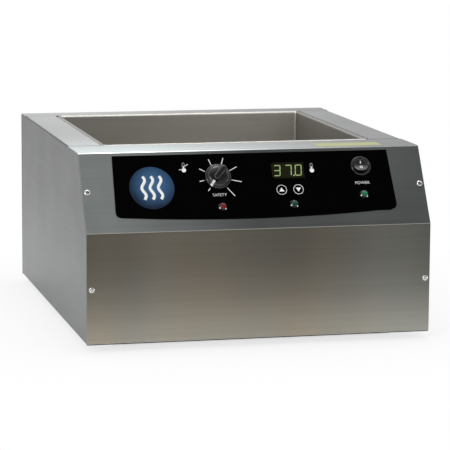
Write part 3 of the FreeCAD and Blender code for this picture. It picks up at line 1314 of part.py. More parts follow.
def lamps():
    """Makes the three domed lamps and their holders behind the panel."""
    for name, place in LAMPS.items():
        body = new_body(f"{name}_lens")
        section = new_sketch(body, f"{name}_section", "XZ_Plane")
        radius, tail = "(Sizes.lamp_dome / 2)", "(Sizes.lamp_tail / 2)"
        base = "Sizes.overlay_thickness"
        polygon(
            section,
            [
                ("0", "-Sizes.sheet"),
                (tail, "-Sizes.sheet"),
                (tail, base),
                (radius, base),
                (radius, f"{base} + Sizes.lamp_rise * {LENS_WALL}"),
                (f"{radius} * {LENS_SHOULDER_RADIUS}", f"{base} + Sizes.lamp_rise * {LENS_SHOULDER}"),
                (f"{radius} * {LENS_FLAT}", f"{base} + Sizes.lamp_rise"),
                ("0", f"{base} + Sizes.lamp_rise"),
            ],
        )
        revolved(body, f"{name}_dome", section)
        seat_on_slant(body, *place)
        back = "-Sizes.sheet"
        collar = drum(f"{name}_collar", "Sizes.lamp_collar", f"{back} - Sizes.lamp_length / 4", back)
        barrel = drum(f"{name}_barrel", "Sizes.lamp_tail", f"{back} - Sizes.lamp_length", back)
        holder = register(fuse(f"{name}_holder", collar, barrel), f"{name}_holder")
        seat_on_slant(holder, *place)


# Mains parts


def power_inlet():
    """Makes the mains inlet in the back wall: flange, socket and three contact blades."""
    body = new_body("power_inlet")
    half_width, half_height = "(Sizes.inlet_plate_width / 2)", "(Sizes.inlet_plate_height / 2)"
    plate = new_sketch(body, "inlet_plate_outline", "XY_Plane")
    rectangle(plate, f"-{half_width}", half_width, f"-{half_height}", half_height)
    screw_hole = "(Sizes.screw_shank + 2 * Sizes.screw_play)"
    for hand in HANDS.values():
        circle(plate, mirrored(hand, "Sizes.inlet_screw_pitch / 2"), "0", screw_hole)
    pad(body, "inlet_flange", plate, "Sizes.inlet_plate")
    half_width, half_height = "(Sizes.inlet_body_width / 2)", "(Sizes.inlet_body_height / 2)"
    barrel = new_sketch(body, "inlet_barrel_outline", "XY_Plane", "-Sizes.inlet_body_depth")
    rectangle(barrel, f"-{half_width}", half_width, f"-{half_height}", half_height)
    pad(body, "inlet_barrel", barrel, "Sizes.inlet_body_depth")
    half_width, half_height = "(Sizes.inlet_well_width / 2)", "(Sizes.inlet_well_height / 2)"
    corner = "Sizes.inlet_well_corner"
    well = new_sketch(body, "inlet_well_outline", "XY_Plane", "Sizes.inlet_plate")
    polygon(
        well,
        [
            (f"-{half_width}", f"-{half_height}"),
            (half_width, f"-{half_height}"),
            (half_width, f"{half_height} - {corner}"),
            (f"{half_width} - {corner}", half_height),
            (f"-{half_width} + {corner}", half_height),
            (f"-{half_width}", f"{half_height} - {corner}"),
        ],
    )
    pocket(body, "inlet_well", well, "Sizes.inlet_well_depth")
    tabs = new_sketch(body, "inlet_blade_slots", "XY_Plane", "Sizes.inlet_plate - Sizes.inlet_well_depth")
    blades = []
    floor = "(Sizes.inlet_plate - Sizes.inlet_well_depth)"
    for side in BLADE_SIDES:
        x = f"({side} * Sizes.blade_spread)"
        y = "(Sizes.blade_rise)" if side == 0 else "(-Sizes.blade_drop)"
        thick, tall = "Sizes.blade_thickness / 2", "Sizes.blade_height / 2"
        wide, high = f"({thick} + Sizes.shaft_play)", f"({tall} + Sizes.shaft_play)"
        rectangle(tabs, f"{x} - {wide}", f"{x} + {wide}", f"{y} - {high}", f"{y} + {high}")
        blade = block(
            f"blade_{side + 2}",
            (f"{x} - {thick}", f"{x} + {thick}"),
            (f"{y} - {tall}", f"{y} + {tall}"),
            ("-Sizes.inlet_body_depth - Sizes.blade_tab", f"{floor} + Sizes.blade_length"),
        )
        blades.append(blade)
    pocket(body, "inlet_blade_cuts", tabs, "Sizes.inlet_body_depth")
    contacts = register(document_compound("inlet_blades", blades), "inlet_blades")
    backwards = FreeCAD.Rotation(X_AXIS, -90) * FreeCAD.Rotation(Z_AXIS, 180)
    for piece in (body, contacts):
        piece.Placement = FreeCAD.Placement(V(), backwards)
        bind(piece, Placement__Base__x=INLET_X, Placement__Base__y=BACK, Placement__Base__z=INLET_Z)


def base_part(name, across, width, depth, height):
    """Stands a closed part on the base plate, in the bay behind the front."""
    y = f"({FRONT} + Sizes.front_bay)"
    piece = block(
        name,
        (f"{across} - {width} / 2", f"{across} + {width} / 2"),
        (f"{y} - {depth} / 2", f"{y} + {depth} / 2"),
        (PLATE_TOP, f"{PLATE_TOP} + {height}"),
    )
    register(piece, name)


def mains_parts():
    """Makes the relay and the terminal block."""
    base_part("relay", "Sizes.relay_across", "Sizes.relay_length", "Sizes.relay_width", "Sizes.relay_height")
    base_part(
        "terminal_block",
        "Sizes.terminal_across",
        "Sizes.terminal_width",
        "Sizes.terminal_depth",
        "Sizes.terminal_height",
    )


def check_and_write():
    """Stops on any failed object or empty solid, then writes each piece to its own file."""
    document.recompute()
    for item in document.Objects:
        if "Invalid" in item.State or "Error" in item.State:
            raise RuntimeError(f"{item.Label} failed: {item.State}")
    os.makedirs("parts", exist_ok=True)
    for piece in pieces:
        shape = piece.Shape
        if shape.isNull() or not shape.isValid() or shape.Volume <= 0:
            raise RuntimeError(f"{piece.Label} is not a sound solid")
        shape.exportStep(f"parts/{piece.Label}.step")
    print(f"{len(pieces)} pieces written")


def main():
    """Builds every piece of the bath."""
    fill_sheet()
    front_panel()
    for side in HANDS:
        side_panel(side)
    rear_panel()
    base_plate()
    for corner in CORNERS:
        foot(corner)
        foot_screw(corner)
    housing_screws()
    tank()
    tank_rail("front_tank_rail", -1)
    tank_rail("rear_tank_rail", 1)
    heater()
    insulation()
    probes()
    thermostat_bulb()
    control_overlay()
    display()
    control_board()
    thermostat()
    safety_knob()
    power_switch()
    lamps()
    power_inlet()
    mains_parts()
    check_and_write()


main()
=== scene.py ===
"""Dresses the bead bath: brushed steel housing, open tank, printed control face, dial, switch and lamps."""

from __future__ import annotations

import logging
import math
from dataclasses import dataclass
from enum import Enum
from typing import ClassVar

import bmesh
import bpy
from mathutils import Matrix, Vector

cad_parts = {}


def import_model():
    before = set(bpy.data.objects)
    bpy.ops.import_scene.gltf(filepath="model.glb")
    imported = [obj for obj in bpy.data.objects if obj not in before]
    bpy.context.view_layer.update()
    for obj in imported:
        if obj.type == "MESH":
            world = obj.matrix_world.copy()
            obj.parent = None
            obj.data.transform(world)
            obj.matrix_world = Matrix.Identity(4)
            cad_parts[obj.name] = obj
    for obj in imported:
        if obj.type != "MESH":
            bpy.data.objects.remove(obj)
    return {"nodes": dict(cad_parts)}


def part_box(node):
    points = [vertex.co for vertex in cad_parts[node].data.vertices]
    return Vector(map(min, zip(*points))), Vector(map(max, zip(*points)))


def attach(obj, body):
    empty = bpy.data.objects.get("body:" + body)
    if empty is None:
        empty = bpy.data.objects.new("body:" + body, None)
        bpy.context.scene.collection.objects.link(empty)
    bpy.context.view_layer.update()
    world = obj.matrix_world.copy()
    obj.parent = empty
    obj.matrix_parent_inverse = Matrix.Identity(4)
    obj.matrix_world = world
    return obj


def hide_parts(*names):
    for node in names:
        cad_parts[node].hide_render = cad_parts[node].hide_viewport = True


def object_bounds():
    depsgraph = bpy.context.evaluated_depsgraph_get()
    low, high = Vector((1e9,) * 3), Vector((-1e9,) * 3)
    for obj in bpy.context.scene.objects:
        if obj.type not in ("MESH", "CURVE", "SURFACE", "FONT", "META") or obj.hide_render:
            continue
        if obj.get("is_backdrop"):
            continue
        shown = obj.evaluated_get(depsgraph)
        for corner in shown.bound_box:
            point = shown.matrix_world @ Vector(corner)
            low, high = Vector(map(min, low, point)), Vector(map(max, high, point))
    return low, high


LOG = logging.getLogger("bead_bath")
MM = 0.001

Colour = tuple[float, float, float]
Point = tuple[float, float]
Place = tuple[float, float, float]


# Node trees


class Signal:
    """One output socket, with the arithmetic operators that add Math nodes."""

    def __init__(self, board: "Board", socket: bpy.types.NodeSocket) -> None:
        """Keeps the tree and the socket."""
        self.board = board
        self.socket = socket

    def of(self, operation: str) -> "Signal":
        """Applies an operation of one value, such as SINE."""
        return self._math(operation, self)

    def _math(self, operation: str, first: object, second: object = None) -> "Signal":
        """Adds one Math node for an operation."""
        feeds = {0: first} if second is None else {0: first, 1: second}
        return self.board.add("ShaderNodeMath", {"operation": operation}, feeds)

    def __add__(self, other: object) -> "Signal":
        """Adds."""
        return self._math("ADD", self, other)

    def __radd__(self, other: object) -> "Signal":
        """Adds to a number."""
        return self._math("ADD", other, self)

    def __sub__(self, other: object) -> "Signal":
        """Takes away."""
        return self._math("SUBTRACT", self, other)

    def __rsub__(self, other: object) -> "Signal":
        """Takes this from a number."""
        return self._math("SUBTRACT", other, self)

    def __mul__(self, other: object) -> "Signal":
        """Multiplies."""
        return self._math("MULTIPLY", self, other)

    def __rmul__(self, other: object) -> "Signal":
        """Multiplies a number."""
        return self._math("MULTIPLY", other, self)

    def __truediv__(self, other: object) -> "Signal":
        """Divides."""
        return self._math("DIVIDE", self, other)

    def __pow__(self, other: object) -> "Signal":
        """Raises to a power."""
        return self._math("POWER", self, other)

    def __neg__(self) -> "Signal":
        """Changes the sign."""
        return self._math("MULTIPLY", self, -1.0)

    def at_most(self, other: object) -> "Signal":
        """Keeps the smaller value."""
        return self._math("MINIMUM", self, other)

    def at_least(self, other: object) -> "Signal":
        """Keeps the larger value."""
        return self._math("MAXIMUM", self, other)

    def clamped(self) -> "Signal":
        """Keeps the value between 0 and 1."""
        return self.at_least(0.0).at_most(1.0)

    def between(self, low: float, high: float) -> "Signal":
        """Gives 0 at low and 1 at high, and keeps the value between them.

        Args:
            low: The value that becomes 0.
            high: The value that becomes 1.

        Returns:
            The clamped share of the way from low to high.
        """
        return ((self - low) / (high - low)).clamped()

    def output(self, name: str | int) -> "Signal":
        """Gives another output of the same node."""
        return Signal(self.board, self.socket.node.outputs[name])


class Board:
    """Adds nodes to one tree and joins them."""

    def __init__(self, tree: bpy.types.NodeTree) -> None:
        """Keeps the tree."""
        self.tree = tree

    def place(self, kind: str, settings: dict | None = None, feeds: dict | None = None) -> bpy.types.Node:
        """Adds a node.

        Args:
            kind: The node's type name.
            settings: Its properties.
            feeds: Values or signals for its inputs, by name or number.

        Returns:
            The new node.
        """
        node = self.tree.nodes.new(kind)
        for key, value in (settings or {}).items():
            setattr(node, key, value)
        for key, value in (feeds or {}).items():
            self.feed(node.inputs[key], value)
        return node

    def add(
        self,
        kind: str,
        settings: dict | None = None,
        feeds: dict | None = None,
        output: str | int = 0,
    ) -> Signal:
        """Adds a node and gives one of its outputs.

        Args:
            kind: The node's type name.
            settings: Its properties.
            feeds: Values or signals for its inputs.
            output: The name or number of the output.

        Returns:
            The output as a signal.
        """
        return Signal(self, self.place(kind, settings, feeds).outputs[output])

    def feed(self, socket: bpy.types.NodeSocket, value: object) -> None:
        """Links a signal to a socket, or sets the socket's value."""
        if isinstance(value, Signal):
            self.tree.links.new(value.socket, socket)
        else:
            socket.default_value = value

    def scaled(self, vector: Signal, factors: Place) -> Signal:
        """Stretches a vector along each axis."""
        return self.add("ShaderNodeVectorMath", {"operation": "MULTIPLY"}, {0: vector, 1: factors})

    def noise(self, vector: Signal, scale: float = 1.0, detail: float = 2.0) -> Signal:
        """Gives a noise value between 0 and 1."""
        feeds = {"Vector": vector, "Scale": scale, "Detail": detail}
        return self.add("ShaderNodeTexNoise", None, feeds)

    def toned(self, colour: object, factor: Signal) -> Signal:
        """Multiplies a colour by a value."""
        return self.add("ShaderNodeVectorMath", {"operation": "SCALE"}, {0: colour, "Scale": factor})

    def mixed(self, factor: Signal, first: object, second: object) -> Signal:
        """Mixes two colours."""
        feeds = {0: factor, 6: self.rgba(first), 7: self.rgba(second)}
        return self.add("ShaderNodeMix", {"data_type": "RGBA"}, feeds, output=2)

    @staticmethod
    def rgba(colour: object) -> object:
        """Adds the alpha to a plain colour."""
        return colour if isinstance(colour, Signal) else (*colour, 1.0)

    def axes(self, vector: Signal) -> tuple[Signal, Signal, Signal]:
        """Splits a vector into its three parts."""
        split = self.add("ShaderNodeSeparateXYZ", None, {0: vector})
        return split, split.output(1), split.output(2)

    def normal(self) -> tuple[Signal, Signal, Signal]:
        """Gives the surface's normal: to the right, backwards and upwards."""
        return self.axes(self.add("ShaderNodeNewGeometry", output="Normal"))

    def distance(self, vector: Signal, spot: Place) -> Signal:
        """Gives how far a place is from a spot."""
        feeds = {0: vector, 1: spot}
        return self.add("ShaderNodeVectorMath", {"operation": "DISTANCE"}, feeds, output="Value")


# Finishes


@dataclass(frozen=True)
class Finish:
    """A finish of one material; each kind paints its own nodes."""

    name: str
    tone: Colour

    def material(self) -> bpy.types.Material:
        """Builds the material once and gives it back afterwards."""
        known = bpy.data.materials.get(self.name)
        if known is not None:
            return known
        made = bpy.data.materials.new(self.name)
        made.use_nodes = True
        board = Board(made.node_tree)
        self.paint(board, made.node_tree.nodes["Principled BSDF"])
        return made

    def paint(self, board: Board, shader: bpy.types.Node) -> None:
        """Links the finish's nodes to the shader."""
        raise NotImplementedError

    def place(self, board: Board) -> Signal:
        """Gives the place on the piece, in metres."""
        return board.add("ShaderNodeTexCoord", output="Object")

    def roughen(self, board: Board, shader: bpy.types.Node, height: Signal, depth: float) -> None:
        """Turns a value into small relief.

        Args:
            board: The tree.
            shader: The shader that gets the relief.
            height: The value between 0 and 1.
            depth: The relief's depth in metres.
        """
        feeds = {"Strength": 1.0, "Distance": depth, "Height": height}
        board.feed(shader.inputs["Normal"], board.add("ShaderNodeBump", None, feeds))


class Grain(Enum):
    """Direction of a brushed finish, as noise stretched along it."""

    ACROSS = (6.0, 1700.0, 1700.0)
    ALONG = (1700.0, 6.0, 1700.0)


@dataclass(frozen=True)
class BrushedSteel(Finish):
    """Stainless sheet with a straight brushed grain and faint handling marks."""

    grain: Grain = Grain.ACROSS
    roughness: float = 0.33
    streak: float = 0.16
    relief: float = 0.000012

    def paint(self, board: Board, shader: bpy.types.Node) -> None:
        """Links grain, broader streaks and smudges to colour, gloss and relief, with the painted light and
        shade that subclasses give.
        """
        place = self.place(board)
        fine = board.noise(board.scaled(place, self.grain.value), detail=3.0)
        broad_factors = tuple(factor * (0.5 if factor < 100 else 0.16) for factor in self.grain.value)
        broad = board.noise(board.scaled(place, broad_factors))
        smudge = board.noise(place, scale=11.0, detail=3.0)
        tone = 1.0 + (fine - 0.5) * self.streak + (broad - 0.5) * self.streak + (smudge - 0.5) * 0.12
        # Subclasses paint light and shade into the tone here, and painted reflection tints through tint.
        shaded = tone * self.shade(board, place)
        board.feed(shader.inputs["Base Color"], board.toned(self.tint(board, place), shaded))
        rough = self.roughness + (fine - 0.5) * 0.10 + (smudge - 0.5) * 0.10
        board.feed(shader.inputs["Roughness"], rough)
        shader.inputs["Metallic"].default_value = 1.0
        self.roughen(board, shader, fine + self.form(board, place) / self.relief, self.relief)

    def tint(self, board: Board, place: Signal) -> object:
        """Gives the steel's colour."""
        return self.tone

    def shade(self, board: Board, place: Signal) -> object:
        """Gives how much of the tone is kept at a place, where subclasses paint light and shade; none here.
        """
        return 1.0

    def form(self, board: Board, place: Signal) -> object:
        """Gives the height, in metres, of a form that is shaded but not built."""
        return 0.0


@dataclass(frozen=True)
class SheetSteel(BrushedSteel):
    """A housing sheet with painted light: painted shade on its upright wall and bends, and a painted
    highlight on the top towards the front left.
    """

    # Shares of the tone for the painted light: wall and wall_fade paint shade on the upright wall, darker
    # towards its top; right_gain paints light on walls facing right; far_top, right_loss, back_gain and
    # near_top paint the top's highlight; bright is its painted reflection tint; bend_loss paints shade on the
    # bends.
    wall: float = 0.38
    wall_fade: float = 0.72
    right_gain: float = 0.9
    far_top: float = 0.62
    right_loss: float = 0.43
    back_gain: float = 0.16
    near_top: float = 1.45
    bright: Colour = (0.385, 0.435, 0.437)
    bend_loss: float = 0.97

    def shade(self, board: Board, place: Signal) -> Signal:
        """Paints shade on the upright wall and its bend, and paints light on walls facing right and on the
        top.
        """
        facing, _, upwards = board.normal()
        _, _, height = board.axes(place)
        # Painted shade on the upright wall, darker towards its top, and painted light on walls facing right.
        wall = self.wall * (1.42 - height.between(0.01, 0.15) * self.wall_fade)
        wall = wall * (1.0 + facing.between(0.5, 0.9) * self.right_gain)
        # Painted shade: a dark line along the bends.
        bend = upwards.between(0.10, 0.35) * (1.0 - upwards.between(0.90, 0.985))
        return self.topped(board, place, wall) * (1.0 - bend * self.bend_loss)

    def topped(self, board: Board, place: Signal, below: object) -> Signal:
        """Puts the top's painted highlight over the painted shade of the other faces.

        Args:
            board: The tree.
            place: The place on the piece.
            below: The share of the tone that the other faces keep.

        Returns:
            The share of the tone that is kept.
        """
        mask, near = self.top(board, place)
        across, back, _ = board.axes(place)
        right = across.between(-0.12, 0.14)
        behind = back.between(0.0, 0.16) * self.back_gain * (1.0 - right)
        # Painted highlight on the top: darker to the right, brighter at the back left, brightest at the front
        # left corner.
        far = self.far_top - right * self.right_loss + behind
        return mask * (far + near * (self.near_top - far)) + (1.0 - mask) * below

    def top(self, board: Board, place: Signal) -> tuple[Signal, Signal]:
        """Gives a mask of the top, and how near a place is to the painted highlight at its front left corner.
        """
        _, _, upwards = board.normal()
        across, back, _ = board.axes(place)
        near = across.between(0.14, -0.12) ** 1.4 * back.between(0.15, -0.16) ** 3.2
        return upwards.between(0.75, 0.97), near

    def tint(self, board: Board, place: Signal) -> object:
        """Paints a cool reflection tint on the top's painted highlight."""
        mask, near = self.top(board, place)
        return board.mixed(mask * near, self.tone, self.bright)


@dataclass(frozen=True)
class TankSteel(BrushedSteel):
    """The tank's sheet, with painted shade on the walls that face sideways and on the rim's top, and painted
    light on the back wall and its fold.
    """

    # The shares of the tone kept under the painted shade of the sideways walls and of the rim's top; rim, lip
    # and rounding place the fold, which takes a painted highlight and a rounding bump.
    sideways: float = 0.55
    rim_top: float = 0.26
    rim: float = 0.2083
    lip: float = 0.0026
    rounding: float = 1.7

    def shade(self, board: Board, place: Signal) -> Signal:
        """Paints shade on the side walls and the rim's top, paints light across the back wall, brighter to
        the right, and a painted highlight on the fold along the rim.
        """
        facing, _, upwards = board.normal()
        sideways = facing.of("ABSOLUTE").between(0.4, 0.9)
        across, _, _ = board.axes(place)
        # Painted light: brighter towards the right, and a painted highlight on the fold.
        plain = 0.85 + across.between(-0.14, 0.12) * 0.37 + self.fold(board, place) * 0.45
        walls = plain * (1.0 - sideways) + sideways * self.sideways
        top = upwards.between(0.6, 0.95)
        return walls * (1.0 - top) + top * self.rim_top

    def fold(self, board: Board, place: Signal) -> Signal:
        """Gives a mask of the fold along the rim, which takes the painted highlight."""
        _, _, height = board.axes(place)
        return height.between(self.rim - self.lip, self.rim - self.lip * 0.8)

    def form(self, board: Board, place: Signal) -> Signal:
        """Rounds the fold towards the rim."""
        _, _, height = board.axes(place)
        above = (height - (self.rim - self.lip)).at_least(0.0)
        return above * above * (-self.rounding / (2 * self.lip))


@dataclass(frozen=True)
class FrontSteel(SheetSteel):
    """The front's sheet, with painted light: painted reflection tints and painted shade on the lower face,
    deeper towards the bend, painted light and shade across the slanted face, and painted highlights on its
    two bends.
    """

    # Painted light of the front: two reflection tints for the lower face, low and high bounding its painted
    # shade, the strength of the bends' painted highlight, and swell_at and swell_rate placing its painted
    # upright bands.
    warm_reflection: Colour = (0.43, 0.38, 0.305)
    cool_reflection: Colour = (0.38, 0.375, 0.335)
    low: float = 0.008
    high: float = 0.128
    bend_highlight: float = 1.3
    swell_at: float = 0.095
    swell_rate: float = 26.0

    def faces(self, board: Board) -> tuple[Signal, Signal]:
        """Gives masks of the lower face and of the slanted face."""
        _, back, _ = board.normal()
        lower = (-back).between(0.90, 0.985)
        return lower, (-back).between(0.45, 0.80) - lower

    def tint(self, board: Board, place: Signal) -> Signal:
        """Paints warmer and cooler reflection tints in soft patches on the lower face, and the top's painted
        reflection tint.
        """
        lower, _ = self.faces(board)
        # Painted reflection: soft patches of two tints on the lower face.
        drift = board.noise(board.scaled(place, (9.0, 0.0, 3.0)), detail=1.0).between(0.38, 0.62)
        base = SheetSteel.tint(self, board, place)
        return board.mixed(lower, base, board.mixed(drift, self.warm_reflection, self.cool_reflection))

    def shade(self, board: Board, place: Signal) -> Signal:
        """Paints shade on the lower face, deeper towards the bend in soft upright bands of painted
        reflection, light and shade across the slanted face, shade on the bottom bend and highlights on the
        two bends.
        """
        lower, leaning = self.faces(board)
        across, _, up = board.axes(place)
        height = up.between(self.low, self.high)
        band = board.noise(board.scaled(place, (11.0, 0.0, 0.0)), detail=1.0)
        swell = ((across + self.swell_at) * self.swell_rate).of("COSINE")
        # Painted shade on the lower face, darker towards its top, in painted upright bands of reflection.
        deep = (1.0 - height) ** 2.6 * 0.74 + 0.31 + (band - 0.5) * 0.14 + swell * 0.035
        # Painted light and shade across the slanted face, brightest at the left.
        leaning_shade = 1.29 - across.between(-0.16, 0.0) * 0.80 + across.between(0.03, 0.12) * 0.13
        _, _, upwards = board.normal()
        # Painted shade on the downward bend at the bottom.
        under = (-upwards).between(0.08, 0.40)
        flat = (1.0 - lower * (1.0 - deep) - leaning * (1.0 - leaning_shade)) * (1.0 - under * self.bend_loss)
        return self.topped(board, place, flat) + self.bends(board, across) * self.bend_highlight

    def bends(self, board: Board, across: Signal) -> Signal:
        """Gives a mask of the painted highlights on the control face's two bends, of which the upper fades to
        the right.
        """
        _, back, upwards = board.normal()
        knee = (-back).between(0.870, 0.900) * (1.0 - (-back).between(0.965, 0.992))
        top = upwards.between(0.56, 0.66) * (1.0 - upwards.between(0.90, 0.985))
        return (knee + top * (0.12 + across.between(0.04, -0.12) * 0.88)).clamped()


@dataclass(frozen=True)
class Moulded(Finish):
    """Moulded plastic or rubber with a fine grain, and slightly uneven gloss."""

    roughness: float = 0.35
    grain_scale: float = 2200.0
    depth: float = 0.00001
    coat: float = 0.0
    specular: float = 0.5

    def paint(self, board: Board, shader: bpy.types.Node) -> None:
        """Links the grain to tone, gloss and relief."""
        place = self.place(board)
        grain = board.noise(place, scale=self.grain_scale, detail=2.0)
        cloud = board.noise(place, scale=60.0, detail=2.0)
        tone = 1.0 + (cloud - 0.5) * 0.22
        board.feed(shader.inputs["Base Color"], board.toned(self.tone, tone))
        board.feed(shader.inputs["Roughness"], self.roughness + (cloud - 0.5) * 0.12)
        shader.inputs["Coat Weight"].default_value = self.coat
        shader.inputs["Coat Roughness"].default_value = 0.08
        shader.inputs["Specular IOR Level"].default_value = self.specular
        self.roughen(board, shader, grain, self.depth)


@dataclass(frozen=True)
class PlatedMetal(Finish):
    """Plated or drawn metal, nearly bright, with faint mottling."""

    roughness: float = 0.18

    def paint(self, board: Board, shader: bpy.types.Node) -> None:
        """Links the mottling to tone and gloss."""
        place = self.place(board)
        mottle = board.noise(place, scale=420.0, detail=3.0)
        board.feed(shader.inputs["Base Color"], board.toned(self.tone, 0.9 + mottle * 0.2))
        board.feed(shader.inputs["Roughness"], self.roughness + (mottle - 0.5) * 0.12)
        shader.inputs["Metallic"].default_value = 1.0
        self.roughen(board, shader, mottle, 0.000004)


@dataclass(frozen=True)
class Ink(Finish):
    """Screen-printed ink or printed label stock, a little uneven."""

    roughness: float = 0.55

    def paint(self, board: Board, shader: bpy.types.Node) -> None:
        """Links the unevenness to tone and gloss."""
        place = self.place(board)
        speck = board.noise(place, scale=900.0, detail=2.0)
        board.feed(shader.inputs["Base Color"], board.toned(self.tone, 0.93 + speck * 0.14))
        board.feed(shader.inputs["Roughness"], self.roughness + (speck - 0.5) * 0.1)


@dataclass(frozen=True)
class DiscInk(Finish):
    """The round blue field of the overlay: lighter in the middle, deep at its edge."""

    edge: Colour = (0.0065, 0.017, 0.038)
    centre: Place = (0.0, 0.0, 0.0)
    reach: float = 0.025

    def paint(self, board: Board, shader: bpy.types.Node) -> None:
        """Fades the colour by the distance from the middle."""
        place = self.place(board)
        share = (board.distance(place, self.centre) / self.reach).clamped()
        cloud = board.noise(place, scale=70.0, detail=1.0)
        fade = (share**1.8 + (cloud - 0.5) * 0.25).clamped()
        board.feed(shader.inputs["Base Color"], board.mixed(fade, self.tone, self.edge))
        board.feed(shader.inputs["Roughness"], 0.45 + cloud * 0.1)
        shader.inputs["Specular IOR Level"].default_value = 0.12


@dataclass(frozen=True)
class LampLens(Finish):
    """Coloured clear lens, lit weakly from behind, with painted glints."""

    glow: float = 0.25
    centre: Place = (0.0, 0.0, 0.0)
    # Spots and colour of the painted glints: small white highlights at fixed places on the lens.
    painted_glints: tuple[Place, ...] = ()
    glint_white: Colour = (0.80, 0.84, 0.82)
    reach: float = 0.0048

    def paint(self, board: Board, shader: bpy.types.Node) -> None:
        """Brightens the middle, paints small white glints as highlights, and keeps the gloss of clear
        plastic.
        """
        place = self.place(board)
        core = (1.0 - (board.distance(place, self.centre) / self.reach)).clamped() ** 1.3
        swirl = board.noise(place, scale=600.0, detail=1.0).between(0.38, 0.62)
        board.feed(shader.inputs["Base Color"], board.toned(self.tone, core * 0.25))
        lit = board.toned(self.tone, core * (0.3 + swirl * 1.4) * self.glow)
        # Painted highlights: white glints at fixed spots, mixed into the emission.
        for painted_glint in self.painted_glints:
            spot = board.distance(place, painted_glint).between(0.0011, 0.0005)
            lit = board.mixed(spot, lit, self.glint_white)
        board.feed(shader.inputs["Emission Color"], lit)
        shader.inputs["Emission Strength"].default_value = 1.0
        shader.inputs["Roughness"].default_value = 0.05
        shader.inputs["Specular IOR Level"].default_value = 0.35
        shader.inputs["Coat Weight"].default_value = 0.25
        shader.inputs["Coat Roughness"].default_value = 0.03


@dataclass(frozen=True)
class Glowing(Finish):
    """Lit display segments."""

    strength: float = 0.9

    def paint(self, board: Board, shader: bpy.types.Node) -> None:
        """Links an uneven glow."""
        place = self.place(board)
        uneven = board.noise(place, scale=500.0, detail=1.0)
        glow = board.toned(self.tone, 0.8 + uneven * 0.4)
        board.feed(shader.inputs["Base Color"], glow)
        board.feed(shader.inputs["Emission Color"], glow)
        shader.inputs["Emission Strength"].default_value = self.strength
        shader.inputs["Roughness"].default_value = 0.5
        shader.inputs["Specular IOR Level"].default_value = 0.05


@dataclass(frozen=True)
class Fibrous(Finish):
    """Matted mineral wool or felt."""

    def paint(self, board: Board, shader: bpy.types.Node) -> None:
        """Links the fibres to tone and relief."""
        place = self.place(board)
        fibres = board.noise(board.scaled(place, (350.0, 350.0, 900.0)), detail=5.0)
        board.feed(shader.inputs["Base Color"], board.toned(self.tone, 0.75 + fibres * 0.5))
        shader.inputs["Roughness"].default_value = 0.95
        self.roughen(board, shader, fibres, 0.0006)


STEEL = (0.40, 0.41, 0.405)
# The housing and tank steels paint light and shade into their colour as well as their grain.
SIDE_STEEL = SheetSteel("side_brushed_painted_light", STEEL, grain=Grain.ALONG)
FRONT_STEEL = FrontSteel("front_brushed_painted_light", (0.36, 0.385, 0.38), grain=Grain.ACROSS)
REAR_STEEL = SheetSteel("rear_brushed_painted_light", STEEL, grain=Grain.ACROSS, wall=0.62)
TANK_STEEL = TankSteel("tank_brushed_painted_light", (0.62, 0.595, 0.55), grain=Grain.ACROSS, roughness=0.42)
BASE_STEEL = BrushedSteel("base_sheet", (0.38, 0.38, 0.37), grain=Grain.ALONG, roughness=0.42, streak=0.08)
SCREW_STEEL = PlatedMetal("screw_nickel", (0.72, 0.72, 0.70), roughness=0.16)
PLATED_STEEL = PlatedMetal("bright_plating", (0.62, 0.62, 0.60), roughness=0.22)
COPPER = PlatedMetal("copper_tubing", (0.62, 0.28, 0.15), roughness=0.3)
BRASS = PlatedMetal("brass_contacts", (0.62, 0.45, 0.18), roughness=0.25)
FOOT_RUBBER = Moulded("foot_black_rubber", (0.018, 0.018, 0.018), roughness=0.75, depth=0.00004, specular=0.3)
OVERLAY_FILM = Moulded("overlay_black_film", (0.0006, 0.0006, 0.0007), roughness=0.5, specular=0.01)
WINDOW_FILM = Moulded("window_smoked_film", (0.006, 0.0055, 0.0035), roughness=0.25, specular=0.06)
KNOB_BLACK = Moulded("knob_black_gloss", (0.004, 0.004, 0.0045), roughness=0.22, coat=0.35)
SWITCH_BLACK = Moulded("switch_black_gloss", (0.003, 0.003, 0.0035), roughness=0.14, coat=0.5)
ROCKER_BLACK = Moulded("rocker_satin", (0.007, 0.007, 0.008), roughness=0.26, coat=0.5)
THERMOSTAT_CASE = Moulded("thermostat_phenolic", (0.10, 0.055, 0.035), roughness=0.45)
LAMP_BLACK = Moulded("lamp_holder_black", (0.02, 0.02, 0.02), roughness=0.4)
INLET_BLACK = Moulded("inlet_black", (0.02, 0.02, 0.021), roughness=0.38)
BOARD_GREEN = Moulded("board_green_laminate", (0.02, 0.11, 0.05), roughness=0.35, grain_scale=900.0)
MODULE_GREY = Moulded("module_dark_grey", (0.05, 0.05, 0.055), roughness=0.5)
TERMINAL_CREAM = Moulded("terminal_cream", (0.62, 0.58, 0.48), roughness=0.5)
HEATER_RED = Moulded("heater_silicone", (0.36, 0.09, 0.05), roughness=0.7, depth=0.00005)
WOOL = Fibrous("insulation_wool_grey", (0.55, 0.53, 0.46))
WHITE_INK = Ink("white_ink", (0.80, 0.80, 0.79))
GREY_INK = Ink("grey_ink", (0.30, 0.31, 0.32))
POINTER_WHITE = Ink("pointer_white", (0.85, 0.85, 0.84), roughness=0.4)
STRIP_YELLOW = Ink("strip_yellow", (0.355, 0.365, 0.108), roughness=0.45)
DIGIT_GLOW = Glowing("digit_glow", (0.20, 0.25, 0.11), strength=0.80)
FIELD_GLOW = Glowing("field_glow", (0.007, 0.0075, 0.0028), strength=0.5)

